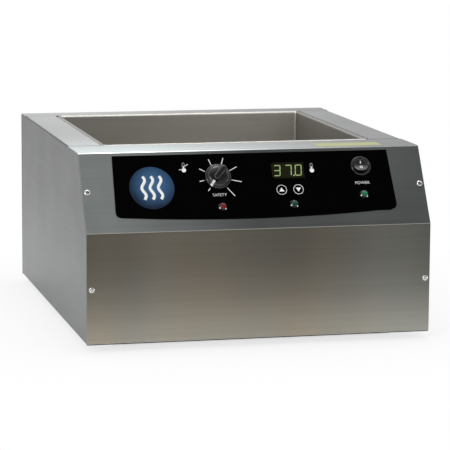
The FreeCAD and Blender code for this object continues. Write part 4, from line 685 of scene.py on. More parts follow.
NODE_FINISHES = {
    SIDE_STEEL: ["left_side_panel", "right_side_panel"],
    FRONT_STEEL: ["front_panel"],
    REAR_STEEL: ["rear_panel"],
    TANK_STEEL: ["tank"],
    BASE_STEEL: ["base_plate", "front_tank_rail", "rear_tank_rail", "bulb_clip", "probe_clip"],
    PLATED_STEEL: ["thermostat_nut", "thermostat_shaft", "board_pillars", "temperature_probe"],
    COPPER: ["thermostat_bulb"],
    BRASS: ["inlet_blades"],
    OVERLAY_FILM: ["control_overlay"],
    WINDOW_FILM: ["display_window"],
    THERMOSTAT_CASE: ["thermostat_body"],
    LAMP_BLACK: ["safety_lamp_holder", "heating_lamp_holder", "power_lamp_holder"],
    INLET_BLACK: ["power_inlet"],
    BOARD_GREEN: ["control_board"],
    MODULE_GREY: ["display_module", "up_key_switch", "down_key_switch", "relay"],
    TERMINAL_CREAM: ["terminal_block"],
    HEATER_RED: ["heater_mat"],
    WOOL: ["left_insulation", "right_insulation", "front_insulation", "rear_insulation"],
}


# Meshes


@dataclass(frozen=True)
class Slant:
    """The leaning control face: places on it are across, up from the bend, and out of it."""

    base: float
    front: float = -0.22225
    knee_height: float = 0.120
    setback: float = 0.049
    rise: float = 0.080
    film: float = 0.0005

    @property
    def knee(self) -> float:
        """The lower bend's height above the bench."""
        return self.base + self.knee_height

    @property
    def top(self) -> float:
        """The housing's top above the bench."""
        return self.knee + self.rise

    @property
    def steepness(self) -> float:
        """The face's angle from level."""
        return math.atan2(self.rise, self.setback)

    def matrix(self, across: float, up: float, out: float = 0.0, turn: float = 0.0) -> Matrix:
        """Gives the place of a flat drawing on the face.

        Args:
            across: Metres to the right of the middle.
            up: Metres up the face from the bend.
            out: Metres out of the steel face.
            turn: Angle added about the face's level line.

        Returns:
            The matrix that carries the drawing's Z to the face's normal.
        """
        angle = self.steepness
        along = Vector((0.0, math.cos(angle), math.sin(angle)))
        normal = Vector((0.0, -math.sin(angle), math.cos(angle)))
        spot = Vector((across, self.front, self.knee)) + along * up + normal * out
        return Matrix.Translation(spot) @ Matrix.Rotation(angle + turn, 4, "X")


class Shape:
    """Builds one mesh from outlines and turned sections, then places it."""

    def __init__(self) -> None:
        """Starts an empty mesh."""
        self.mesh = bmesh.new()

    def turned(self, section: list[Point], sides: int = 64) -> "Shape":
        """Turns a section of radius and height pairs about Z; it starts and ends on the axis."""
        rings = []
        for radius, height in section:
            if radius < 1e-7:
                rings.append([self.mesh.verts.new((0.0, 0.0, height))])
                continue
            outline = circle_outline(radius, sides)
            rings.append([self.mesh.verts.new((x, y, height)) for x, y in outline])
        for low, high in zip(rings, rings[1:]):
            self.join_rings(low, high)
        return self

    def join_rings(self, low: list, high: list) -> None:
        """Joins two closed rings, either of which may be a single point."""
        count = max(len(low), len(high))
        for n in range(count):
            after = (n + 1) % count
            corners = [low[n % len(low)], low[after % len(low)], high[after % len(high)], high[n % len(high)]]
            kept = [corner for i, corner in enumerate(corners) if corner not in corners[:i]]
            if len(kept) > 2:
                self.mesh.faces.new(kept)

    def layered(self, layers: list[list[Place]]) -> "Shape":
        """Joins closed outlines of equal count into one skin, with both ends closed."""
        rings = [[self.mesh.verts.new(spot) for spot in layer] for layer in layers]
        for low, high in zip(rings, rings[1:]):
            self.join_rings(low, high)
        self.mesh.faces.new(list(reversed(rings[0])))
        self.mesh.faces.new(rings[-1])
        return self

    def looped(self, layers: list[list[Place]]) -> "Shape":
        """Joins closed outlines of equal count into a band, the last one to the first."""
        rings = [[self.mesh.verts.new(spot) for spot in layer] for layer in layers]
        for low, high in zip(rings, rings[1:] + rings[:1]):
            self.join_rings(low, high)
        return self

    def plate(self, outline: list[Point], low: float, high: float, edge: float = 0.0) -> "Shape":
        """Raises a flat outline between two heights, with a small rounded top edge.

        Args:
            outline: The corners, in order.
            low: The underside's height.
            high: The top's height.
            edge: How far the top edge is drawn in.

        Returns:
            This shape.
        """
        layers = [[(x, y, low) for x, y in outline]]
        if edge > 0:
            middle = (sum(x for x, _ in outline) / len(outline), sum(y for _, y in outline) / len(outline))
            layers.append([(x, y, high - edge) for x, y in outline])
            layers.append([(*self.drawn_in((x, y), middle, edge), high) for x, y in outline])
        else:
            layers.append([(x, y, high) for x, y in outline])
        return self.layered(layers)

    @staticmethod
    def drawn_in(spot: Point, middle: Point, amount: float) -> Point:
        """Moves a corner towards the middle."""
        dx, dy = middle[0] - spot[0], middle[1] - spot[1]
        length = math.hypot(dx, dy) or 1.0
        return spot[0] + dx / length * amount, spot[1] + dy / length * amount

    def finished(self, name: str, matrix: Matrix, finish: Finish, smooth: bool = True) -> bpy.types.Object:
        """Turns the mesh into an object whose place is in its mesh."""
        bmesh.ops.remove_doubles(self.mesh, verts=self.mesh.verts, dist=1e-7)
        bmesh.ops.recalc_face_normals(self.mesh, faces=self.mesh.faces)
        self.mesh.transform(matrix)
        data = bpy.data.meshes.new(name)
        self.mesh.to_mesh(data)
        self.mesh.free()
        return shown(name, data, finish, smooth)


def shown(name: str, data: bpy.types.Mesh, finish: Finish, smooth: bool = True) -> bpy.types.Object:
    """Puts a mesh into the scene with a finish and, if smooth, with sharp edges kept."""
    data.materials.clear()
    data.materials.append(finish.material())
    made = bpy.data.objects.new(name, data)
    bpy.context.scene.collection.objects.link(made)
    if smooth:
        data.shade_smooth()
        data.set_sharp_from_angle(angle=math.radians(32))
    return made


def linked(name: str, data: bpy.types.ID) -> bpy.types.Object:
    """Makes an object of some data and links it to the scene."""
    made = bpy.data.objects.new(name, data)
    bpy.context.scene.collection.objects.link(made)
    return made


def plain_mesh(source: bpy.types.Object, name: str) -> bpy.types.Mesh:
    """Gives the finished mesh of an object with modifiers or of a text, and removes the object."""
    bpy.context.view_layer.update()
    seen = source.evaluated_get(bpy.context.evaluated_depsgraph_get())
    data = bpy.data.meshes.new_from_object(seen)
    data.name = name
    data.transform(source.matrix_world)
    bpy.data.objects.remove(source)
    return data


def round_outline(width: float, height: float, radius: float, steps: int = 6) -> list[Point]:
    """Gives a rectangle with round corners about the origin."""
    corners = [(1, 1), (-1, 1), (-1, -1), (1, -1)]
    outline = []
    for n, (side, end) in enumerate(corners):
        middle = (side * (width / 2 - radius), end * (height / 2 - radius))
        for step in range(steps + 1):
            angle = math.pi / 2 * (n + step / steps)
            outline.append((middle[0] + radius * math.cos(angle), middle[1] + radius * math.sin(angle)))
    return outline


def circle_outline(radius: float, sides: int = 48, middle: Point = (0.0, 0.0)) -> list[Point]:
    """Gives a circle as corners."""
    turns = [2 * math.pi * n / sides for n in range(sides)]
    return [(middle[0] + radius * math.cos(a), middle[1] + radius * math.sin(a)) for a in turns]


# Geometry Nodes


class Tree:
    """A geometry tree with named inputs, run once on a mesh and then made plain."""

    def __init__(self, name: str) -> None:
        """Starts a tree with geometry in and out."""
        self.group = bpy.data.node_groups.new(name, "GeometryNodeTree")
        self.group.interface.new_socket("Geometry", in_out="INPUT", socket_type="NodeSocketGeometry")
        self.group.interface.new_socket("Geometry", in_out="OUTPUT", socket_type="NodeSocketGeometry")
        self.board = Board(self.group)
        self.keys: dict[str, str] = {}

    def inlet(self, name: str, kind: str) -> None:
        """Declares a named input before the tree is drawn."""
        made = self.group.interface.new_socket(name, in_out="INPUT", socket_type=kind)
        self.keys[name] = made.identifier

    def inlets(self, *names: str) -> None:
        """Declares named inputs for sizes."""
        for name in names:
            self.inlet(name, "NodeSocketFloat")

    def begin(self) -> Signal:
        """Adds the group's input node and gives its geometry."""
        self.entry = self.board.add("NodeGroupInput")
        return self.entry

    def value(self, name: str) -> Signal:
        """Gives a named input."""
        return self.entry.output(name)

    def end(self, geometry: Signal) -> None:
        """Makes instances real, sets the material and closes the tree."""
        real = self.board.add("GeometryNodeRealizeInstances", None, {0: geometry})
        dressed = self.board.add(
            "GeometryNodeSetMaterial", None, {"Geometry": real, "Material": self.value("Material")}
        )
        self.board.place("NodeGroupOutput", None, {0: dressed})

    def run(self, name: str, seed: bpy.types.Mesh, values: dict[str, object]) -> bpy.types.Mesh:
        """Runs the tree on a mesh.

        Args:
            name: The new mesh's name.
            seed: The mesh that the tree starts from.
            values: The named inputs.

        Returns:
            The plain mesh.
        """
        carrier = bpy.data.objects.new(f"{name}_carrier", seed)
        bpy.context.scene.collection.objects.link(carrier)
        modifier = carrier.modifiers.new("repeat", "NODES")
        modifier.node_group = self.group
        for key, value in values.items():
            modifier[self.keys[key]] = value
        return plain_mesh(carrier, name)


def scatter_tree() -> Tree:
    """Makes the tree that puts a pattern on every point, turned by the point's own angles."""
    tree = Tree("pattern_on_points")
    tree.inlet("Pattern", "NodeSocketObject")
    tree.inlet("Size", "NodeSocketFloat")
    tree.inlet("Material", "NodeSocketMaterial")
    points = tree.begin()
    board = tree.board
    pattern = board.add("GeometryNodeObjectInfo", None, {"Object": tree.value("Pattern")}, output="Geometry")
    turn = board.add("GeometryNodeInputNamedAttribute", {"data_type": "FLOAT_VECTOR"}, {"Name": "turn"})
    rotation = board.add("FunctionNodeEulerToRotation", None, {0: turn})
    placed = board.add(
        "GeometryNodeInstanceOnPoints",
        None,
        {"Points": points, "Instance": pattern, "Rotation": rotation, "Scale": tree.value("Size")},
    )
    tree.end(placed)
    return tree


def scattered(
    tree: Tree, name: str, pattern: bpy.types.Object, matrices: list[Matrix], finish: Finish
) -> bpy.types.Object:
    """Puts a pattern at each matrix as one plain piece.

    Args:
        tree: The tree of scatter_tree.
        name: The piece's name.
        pattern: The pattern's object, which is removed afterwards.
        matrices: Where each copy goes.
        finish: The piece's finish.

    Returns:
        The piece.
    """
    seed = bpy.data.meshes.new(f"{name}_points")
    seed.from_pydata([tuple(matrix.translation) for matrix in matrices], [], [])
    turns = seed.attributes.new("turn", "FLOAT_VECTOR", "POINT")
    for spot, matrix in zip(turns.data, matrices):
        spot.vector = tuple(matrix.to_euler("XYZ"))
    values = {"Pattern": pattern, "Size": 1.0, "Material": finish.material()}
    data = tree.run(name, seed, values)
    bpy.data.objects.remove(pattern)
    return shown(name, data, finish)


def dial_ring_tree() -> Tree:
    """Makes the tree that draws strokes round a dial, each longer than the one before."""
    tree = Tree("dial_strokes")
    tree.inlets("Inner radius", "First reach", "Reach growth")
    tree.inlets("First angle", "Step angle", "Width", "Thickness")
    tree.inlet("Count", "NodeSocketInt")
    tree.inlet("Material", "NodeSocketMaterial")
    tree.begin()
    board = tree.board
    number = board.add("GeometryNodeInputIndex")
    angle = tree.value("First angle") + number * tree.value("Step angle")
    inner = tree.value("Inner radius")
    length = tree.value("First reach") + number * tree.value("Reach growth") - inner
    middle = inner + length * 0.5
    flat = {0: middle * angle.of("COSINE"), 1: middle * angle.of("SINE")}
    spots = board.add("ShaderNodeCombineXYZ", None, flat)
    points = board.add("GeometryNodePoints", None, {"Count": tree.value("Count"), "Position": spots})
    bar_size = board.add(
        "ShaderNodeCombineXYZ", None, {0: 1.0, 1: tree.value("Width"), 2: tree.value("Thickness")}
    )
    bar = board.add("GeometryNodeMeshCube", None, {"Size": bar_size})
    turn = board.add("ShaderNodeCombineXYZ", None, {2: angle})
    rotation = board.add("FunctionNodeEulerToRotation", None, {0: turn})
    scale = board.add("ShaderNodeCombineXYZ", None, {0: length, 1: 1.0, 2: 1.0})
    placed = board.add(
        "GeometryNodeInstanceOnPoints",
        None,
        {"Points": points, "Instance": bar, "Rotation": rotation, "Scale": scale},
    )
    tree.end(placed)
    return tree


def wave_tree() -> Tree:
    """Makes the tree that draws upright wavy lines side by side."""
    tree = Tree("heat_waves")
    tree.inlets("Height", "Swing", "Gap", "Stroke", "Thickness")
    tree.inlet("Count", "NodeSocketInt")
    tree.inlet("Material", "NodeSocketMaterial")
    tree.begin()
    board = tree.board
    height = tree.value("Height")
    end = board.add("ShaderNodeCombineXYZ", None, {1: height})
    line = board.add("GeometryNodeCurvePrimitiveLine", None, {"End": end})
    dense = board.add("GeometryNodeResampleCurve", None, {"Curve": line, "Count": 49})
    share = board.add("GeometryNodeSplineParameter")
    phase = share * (3.0 * math.pi)
    swing = phase.of("SINE") * tree.value("Swing")
    sideways = board.add("ShaderNodeCombineXYZ", None, {0: swing, 1: height * -0.5})
    wavy = board.add("GeometryNodeSetPosition", None, {"Geometry": dense, "Offset": sideways})
    section = board.add(
        "GeometryNodeCurvePrimitiveQuadrilateral",
        None,
        {"Width": tree.value("Stroke"), "Height": tree.value("Thickness")},
    )
    ribbon = board.add(
        "GeometryNodeCurveToMesh", None, {"Curve": wavy, "Profile Curve": section, "Fill Caps": True}
    )
    count = tree.value("Count")
    number = board.add("GeometryNodeInputIndex")
    across = (number - (count - 1.0) * 0.5) * tree.value("Gap")
    spots = board.add("ShaderNodeCombineXYZ", None, {0: across})
    points = board.add("GeometryNodePoints", None, {"Count": count, "Position": spots})
    tree.end(board.add("GeometryNodeInstanceOnPoints", None, {"Points": points, "Instance": ribbon}))
    return tree


# Pieces


def settle(piece: bpy.types.Object, body: str, slot: str, *nodes: str) -> None:
    """Makes a piece ride on a body and hides the nodes that it stands for."""
    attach(piece, body)
    if nodes:
        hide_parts(*nodes)
    LOG.info("built %s on %s", piece.name, body)


@dataclass
class Dial:
    """The safety dial: a skirted knob with a bar grip, and its white pointer."""

    slant: Slant
    across: float = -41.2 * MM
    up: float = 61.05 * MM
    lift: float = 1.1 * MM
    skirt_radius: float = 14.5 * MM
    skirt_height: float = 4.2 * MM
    crown_radius: float = 12.0 * MM
    crown_height: float = 7.5 * MM
    top: float = 15.5 * MM
    grip_width: float = 8.0 * MM
    rest_angle: float = math.radians(50.0)

    def build(self) -> None:
        """Builds the knob and the pointer."""
        matrix = self.slant.matrix(self.across, self.up, self.lift)
        knob = self.knob_shape().finished("dial_knob", matrix, KNOB_BLACK)
        settle(knob, "safety_dial", "knob_plastic", "safety_knob")
        pointer = self.pointer_shape().finished("dial_pointer", matrix, POINTER_WHITE)
        settle(pointer, "safety_dial", "knob_plastic")

    def knob_shape(self) -> Shape:
        """Turns the skirt and crown with the room for the nut, and adds the grip."""
        r, edge = self.skirt_radius, 0.7 * MM
        section = [
            (0.0, 5.7 * MM),
            (9.5 * MM, 5.7 * MM),
            (9.5 * MM, 0.0),
            (r - edge, 0.0),
            (r - edge * 0.3, edge * 0.3),
            (r, edge),
            (r, self.skirt_height - 1.5 * MM),
            (r - 0.3 * MM, self.skirt_height - 0.8 * MM),
            (r - 0.9 * MM, self.skirt_height - 0.2 * MM),
            (r - 1.6 * MM, self.skirt_height),
            (self.crown_radius + 0.3 * MM, self.skirt_height + 0.05 * MM),
            (self.crown_radius, self.skirt_height + 0.4 * MM),
            (self.crown_radius - 0.35 * MM, self.crown_height - 2.3 * MM),
            (self.crown_radius - 0.8 * MM, self.crown_height - 1.6 * MM),
            (self.crown_radius - 1.8 * MM, self.crown_height - 1.1 * MM),
            (self.crown_radius * 0.66, self.crown_height - 0.55 * MM),
            (self.crown_radius * 0.4, self.crown_height - 0.15 * MM),
            (0.0, self.crown_height),
        ]
        shape = Shape().turned(section, sides=72)
        levels = [
            (self.crown_height - 2.0 * MM, 0.2 * MM),
            (self.crown_height + 1.0 * MM, 0.0),
            (self.top - 2.0 * MM, -0.5 * MM),
            (self.top - 0.9 * MM, -0.8 * MM),
            (self.top - 0.3 * MM, -1.3 * MM),
            (self.top, -2.2 * MM),
        ]
        layers = []
        for level, growth in levels:
            outline = self.grip_outline(growth)
            layers.append([(x, y, level) for x, y in outline])
        return shape.layered(layers)

    def grip_outline(self, growth: float) -> list[Point]:
        """Gives the grip's outline, turned to its place at rest."""
        length = 2 * (self.crown_radius - 1.6 * MM) + 2 * growth
        width = self.grip_width + 2 * growth
        flat = round_outline(length, width, width / 2 - 0.05 * MM, steps=8)
        return [self.turned_point(spot) for spot in flat]

    def turned_point(self, spot: Point) -> Point:
        """Turns a point of the grip's drawing to the dial's rest."""
        c, s = math.cos(self.rest_angle), math.sin(self.rest_angle)
        return spot[0] * c - spot[1] * s, spot[0] * s + spot[1] * c

    def pointer_shape(self) -> Shape:
        """Makes the white line down the grip's end and on the skirt below it."""
        shape = Shape()
        half = 1.4 * MM
        on_skirt = [(-14.3 * MM, -half), (-11.9 * MM, -half), (-11.9 * MM, half), (-14.3 * MM, half)]
        low, high = self.skirt_height - 2.6 * MM, self.skirt_height + 0.12 * MM
        shape.plate([self.turned_point(p) for p in on_skirt], low, high)
        end = [(-11.95 * MM, -half), (-10.0 * MM, -half), (-10.0 * MM, half), (-11.95 * MM, half)]
        shape.plate([self.turned_point(p) for p in end], self.skirt_height, self.skirt_height + 6.0 * MM)
        return shape


@dataclass
class PowerSwitch:
    """The round power switch: a glossy bezel with a well, and the rocker in it."""

    slant: Slant
    across: float = 120.7 * MM
    up: float = 69.95 * MM
    hole_radius: float = 9.8 * MM
    bezel_radius: float = 11.3 * MM
    well_radius: float = 8.6 * MM
    bezel_top: float = 2.5 * MM
    well_floor: float = -6.5 * MM
    tail: float = 20.0 * MM
    rocker_radius: float = 7.9 * MM
    rocker_half: float = 7.3 * MM
    pivot: float = 0.9 * MM
    crown: float = 3.0 * MM
    dip: float = 1.6 * MM
    skirt: float = 4.0 * MM
    tilt: float = math.radians(10.0)

    def build(self) -> None:
        """Builds the bezel with its body, the rocker and its two marks."""
        body = Shape().turned(self.bezel_section(), sides=72)
        body = body.finished("switch_bezel", self.slant.matrix(self.across, self.up), SWITCH_BLACK)
        settle(body, "housing", "switch_plastic", "power_switch_body")
        seat = self.slant.matrix(self.across, self.up, self.pivot, -self.tilt)
        rocker = self.rocker_shape().finished("switch_rocker", seat, ROCKER_BLACK)
        settle(rocker, "power_rocker", "switch_plastic", "power_rocker")
        marks = self.mark_shape().finished("switch_marks", seat, POINTER_WHITE)
        settle(marks, "power_rocker", "switch_plastic")

    def bezel_section(self) -> list[Point]:
        """Gives the turned section of the bezel, the barrel and the well."""
        film, rim, top = self.slant.film, self.bezel_radius, self.bezel_top
        arc = []
        for step in range(9):
            angle = math.pi * step / 8
            middle, reach = (rim + self.well_radius) / 2, (rim - self.well_radius) / 2
            arc.append((middle + reach * math.cos(angle), top - 1.0 * MM + 1.0 * MM * math.sin(angle)))
        return [
            (0.0, -self.tail),
            (self.hole_radius - 1.0 * MM, -self.tail),
            (self.hole_radius, -self.tail + 1.0 * MM),
            (self.hole_radius, film),
            (rim, film),
            *arc,
            (self.well_radius, self.well_floor),
            (0.0, self.well_floor),
        ]

    def height(self, up: float) -> float:
        """Gives the height of the rocker's hollow top above its pivot."""
        share = min(1.0, abs(up) / self.rocker_half)
        return self.crown - self.dip * (1.0 - share**1.6)

    def rocker_outline(self, share: float) -> list[Point]:
        """Gives the rocker's plan, drawn in by a share."""
        outline = []
        for x, y in circle_outline(self.rocker_radius, 64):
            clipped = max(-self.rocker_half, min(self.rocker_half, y))
            outline.append((x * share, clipped * share))
        return outline

    def rocker_shape(self) -> Shape:
        """Builds the rocker: hollow top, round ends and a tapered skirt."""
        layers = []
        for depth, narrow in ((-self.skirt, 0.55), (-self.skirt * 0.5, 0.8), (0.0, 1.0)):
            layers.append([(x, y * narrow, depth) for x, y in self.rocker_outline(0.9 if depth else 1.0)])
        drops = [(1.0, 0.7 * MM), (0.985, 0.2 * MM)]
        drops += [(share, 0.0) for share in (0.94, 0.8, 0.6, 0.4, 0.2, 0.05)]
        for share, drop in drops:
            layers.append([(x, y, self.height(y) - drop) for x, y in self.rocker_outline(share)])
        return Shape().layered(layers)

    def mark_shape(self) -> Shape:
        """Makes the bar and the ring that mark on and off."""
        shape = Shape()
        half, low = 0.45 * MM, 2.3 * MM
        bar = [(-half, low), (half, low), (half, low + 2.9 * MM), (-half, low + 2.9 * MM)]
        layers = []
        for lift in (-0.05 * MM, 0.06 * MM):
            layers.append([(x, y, self.height(y) + lift) for x, y in bar])
        shape.layered(layers)
        layers = []
        for radius, lift in ((1.75, -0.05), (1.75, 0.06), (1.15, 0.06), (1.15, -0.05)):
            outline = circle_outline(radius * MM, 32, (0.0, -2.2 * MM))
            layers.append([(x, y, self.height(y) + lift * MM) for x, y in outline])
        return shape.looped(layers)


@dataclass
class Lamps:
    """The three domed lamps with stepped lenses."""

    slant: Slant
    radius: float = 4.8 * MM
    tail_radius: float = 3.9 * MM
    rise: float = 3.4 * MM
    sheet: float = 1.2 * MM
    # Where each lens's painted glints go: across and down from its middle.
    painted_glints: tuple[Point, ...] = ((-3.7 * MM, 2.0 * MM), (3.0 * MM, 3.2 * MM))

    def build(self) -> None:
        """Builds each lamp in its colour."""
        red, green, dim = (0.50, 0.010, 0.015), (0.006, 0.33, 0.14), (0.004, 0.20, 0.10)
        lamps = (
            ("safety_lamp", -39.6, 26.95, red, 0.30),
            ("heating_lamp", 40.1, 27.65, dim, 0.15),
            ("power_lamp", 120.1, 36.85, green, 0.45),
        )
        for name, across, up, tone, glow in lamps:
            matrix = self.slant.matrix(across * MM, up * MM)
            centre = tuple(self.slant.matrix(across * MM, up * MM, self.rise).translation)
            # The spots of the painted glints, on the dome's lower sides.
            painted_glints = []
            for aside, below in self.painted_glints:
                spot = self.slant.matrix(across * MM + aside, up * MM - below, 1.8 * MM)
                painted_glints.append(tuple(spot.translation))
            finish = LampLens(f"{name}_colour", tone, glow=glow, centre=centre, painted_glints=tuple(painted_glints))
            lens = Shape().turned(self.section(), sides=40).finished(f"{name}_dome", matrix, finish)
            slot = "red_lens" if name == "safety_lamp" else "green_lens"
            settle(lens, "housing", slot, f"{name}_lens")

    def section(self) -> list[Point]:
        """Gives the lens's section: a tail through the panel, a rim and a dome in steps."""
        film, r = self.slant.film, self.radius
        section = [(0.0, -self.sheet), (self.tail_radius, -self.sheet), (self.tail_radius, film)]
        rim = [(-0.1, 0.0), (0.0, 0.15), (0.0, 0.7), (-0.25, 0.95)]
        section += [(r + aside * MM, film + out * MM) for aside, out in rim]
        dome, foot = r - 0.55 * MM, film + 0.95 * MM
        steps = 10
        for step in range(steps):
            angle = math.pi / 2 * step / steps
            ledge = 0.12 * MM if step % 2 else 0.0
            section.append((dome * math.cos(angle) - ledge, foot + (self.rise - 1.0 * MM) * math.sin(angle)))
        section.append((0.0, film + self.rise))
        return section


@dataclass
class ControlPrint:
    """The overlay's margin and its prints: dial strokes, words, signs, keys and the round field."""

    slant: Slant
    thickness: float = 0.06 * MM
    dial: Point = (-41.2, 61.05)

    @property
    def level(self) -> float:
        """The film's top, a hair under the ink."""
        return self.slant.film - 0.01 * MM

    def build(self, strokes: Tree, waves: Tree, scatter: Tree) -> None:
        """Prints each sign."""
        self.margin()
        self.dial_strokes(strokes)
        self.word("word_safety", "SAFETY", self.dial[0], 40.6, 4.8)
        self.word("word_power", "POWER", 120.0, 50.2, 4.8)
        self.disc(waves)
        self.thermometer("sign_limit", -77.4, 74.0, crossed=True)
        self.thermometer("sign_temperature", 65.0, 69.8, crossed=False)
        self.keys(scatter)

    @staticmethod
    def lower_edge(across: float) -> float:
        """Gives the height of the film's bowed lower edge, in millimetres."""
        return 12.3 + 5.6 * ((across + 10.0) / 150.0) ** 2

    def margin(self) -> None:
        """Widens the film to its bowed lower edge and its sides, which lean outwards."""
        left, right, corner, steps = -156.8, 155.4, 6.0, 32
        inner, inner_low, top = 149.5, 20.5, 89.2
        turns = [math.radians(15.0 * step) for step in range(7)]
        start, end = left + corner, right - corner
        low, high = self.lower_edge(start) + corner, self.lower_edge(end) + corner
        outline = [(-inner, top), (left + 2.2, top)]
        outline += [(start - corner * math.cos(turn), low - corner * math.sin(turn)) for turn in turns]
        spots = [start + (end - start) * step / steps for step in range(1, steps)]
        outline += [(across, self.lower_edge(across)) for across in spots]
        outline += [(end + corner * math.sin(turn), high - corner * math.cos(turn)) for turn in turns]
        outline += [(right - 2.5, top), (inner, top), (inner, inner_low), (-inner, inner_low)]
        shape = Shape().plate([(x * MM, y * MM) for x, y in outline], 0.0, self.level)
        piece = shape.finished("film_margin", self.slant.matrix(0.0, 0.0), OVERLAY_FILM, smooth=False)
        settle(piece, "housing", "overlay_film")

    def printed(self, shape: Shape, name: str, across: float, up: float, finish: Finish) -> None:
        """Places a flat print on the film."""
        matrix = self.slant.matrix(across * MM, up * MM, self.level)
        settle(shape.finished(name, matrix, finish, smooth=False), "housing", "overlay_film")

    def inked(self, data: bpy.types.Mesh, name: str, spot: Point, out: float) -> None:
        """Places a mesh of white ink on the film, its middle raised by a share of the ink's thickness."""
        data.transform(self.slant.matrix(spot[0] * MM, spot[1] * MM, self.slant.film + self.thickness * out))
        settle(shown(name, data, WHITE_INK, smooth=False), "housing", "overlay_film")

    def dial_strokes(self, tree: Tree) -> None:
        """Draws the ring of strokes round the dial."""
        values = {
            "Inner radius": 15.3 * MM,
            "First reach": 19.7 * MM,
            "Reach growth": 1.14 * MM,
            "First angle": math.radians(-128.0),
            "Step angle": math.radians(-40.7),
            "Width": 0.8 * MM,
            "Thickness": self.thickness,
            "Count": 8,
            "Material": WHITE_INK.material(),
        }
        data = tree.run("dial_strokes", bpy.data.meshes.new("dial_seed"), values)
        self.inked(data, "dial_strokes", self.dial, 0.5)

    def word(self, name: str, text: str, across: float, up: float, size: float) -> None:
        """Prints a word, centred."""
        curve = bpy.data.curves.new(name, "FONT")
        curve.body = text
        curve.size = size * MM
        curve.align_x = "CENTER"
        curve.align_y = "CENTER"
        curve.extrude = self.thickness / 2
        curve.offset = -0.05 * MM
        curve.resolution_u = 4
        self.inked(plain_mesh(linked(f"{name}_letters", curve), name), name, (across, up), 0.5)

    def disc(self, waves: Tree) -> None:
        """Prints the round blue field with a plain sign for heat."""
        across, up, radius = -114.6, 51.0, 24.6
        centre = tuple(self.slant.matrix((across + 2) * MM, (up + 3.5) * MM, self.level).translation)
        finish = DiscInk("disc_blue", (0.038, 0.106, 0.222), centre=centre, reach=1.05 * radius * MM)
        shape = Shape().plate(circle_outline(radius * MM, 96), 0.0, self.thickness)
        self.printed(shape, "blue_disc", across, up, finish)
        values = {
            "Height": 27.0 * MM,
            "Swing": 1.9 * MM,
            "Gap": 9.0 * MM,
            "Stroke": 3.2 * MM,
            "Thickness": self.thickness,
            "Count": 3,
            "Material": WHITE_INK.material(),
        }
        data = waves.run("heat_sign", bpy.data.meshes.new("heat_seed"), values)
        self.inked(data, "heat_sign", (across, up), 1.0)

    def thermometer(self, name: str, across: float, up: float, crossed: bool) -> None:
        """Prints a thermometer: an outlined tube on a filled bulb, with limit strokes if crossed."""
        bulb = Shape().plate(circle_outline(2.5 * MM, 32, (0.0, -3.2 * MM)), 0.0, self.thickness)
        stem = [(-0.55, -1.0), (0.55, -1.0), (0.55, 1.5), (-0.55, 1.5)]
        bulb.plate([(x * MM, y * MM) for x, y in stem], 0.0, self.thickness)
        if crossed:
            for start, end in (((1.3, 1.4), (5.0, 3.4)), ((-5.2, -2.8), (-3.1, -2.4))):
                bulb.plate(self.stroke(start, end, 0.75), 0.0, self.thickness)
        self.printed(bulb, name, across, up, WHITE_INK)
        outer = [(x, y + 1.6 * MM) for x, y in round_outline(3.0 * MM, 7.6 * MM, 1.45 * MM)]
        inner = [(x, y + 1.6 * MM) for x, y in round_outline(1.9 * MM, 6.5 * MM, 0.9 * MM)]
        self.printed(self.band(outer, inner), f"{name}_tube", across, up, GREY_INK)

    @staticmethod
    def stroke(start: Point, end: Point, width: float) -> list[Point]:
        """Gives the corners of a straight stroke, from millimetres."""
        along = Vector((end[0] - start[0], end[1] - start[1])).normalized() * width / 2
        side = Vector((-along.y, along.x))
        corners = [Vector(start) - side, Vector(end) - side, Vector(end) + side, Vector(start) + side]
        return [(corner.x * MM, corner.y * MM) for corner in corners]

    def band(self, outer: list[Point], inner: list[Point]) -> Shape:
        """Makes a flat band between two outlines of equal count."""
        layers = []
        for outline, level in ((outer, 0.0), (outer, self.thickness), (inner, self.thickness), (inner, 0.0)):
            layers.append([(x, y, level) for x, y in outline])
        return Shape().looped(layers)

    def keys(self, scatter: Tree) -> None:
        """Prints the two key rings and their arrows."""
        places = [self.slant.matrix(across * MM, 44.65 * MM, self.level) for across in (28.2, 47.0)]
        ring = self.band(circle_outline(5.7 * MM), circle_outline(5.2 * MM))
        flipped = [places[0], places[1] @ Matrix.Rotation(math.pi, 4, "Z")]
        corners = [(-2.9 * MM, -2.0 * MM), (2.9 * MM, -2.0 * MM), (0.0, 2.7 * MM)]
        arrow = Shape().plate(corners, 0.0, self.thickness)
        for name, shape, spots in (("key_ring", ring, places), ("key_arrow", arrow, flipped)):
            pattern = shape.finished(f"{name}_pattern", Matrix(), WHITE_INK, smooth=False)
            settle(scattered(scatter, f"{name}s", pattern, spots, WHITE_INK), "housing", "overlay_film")


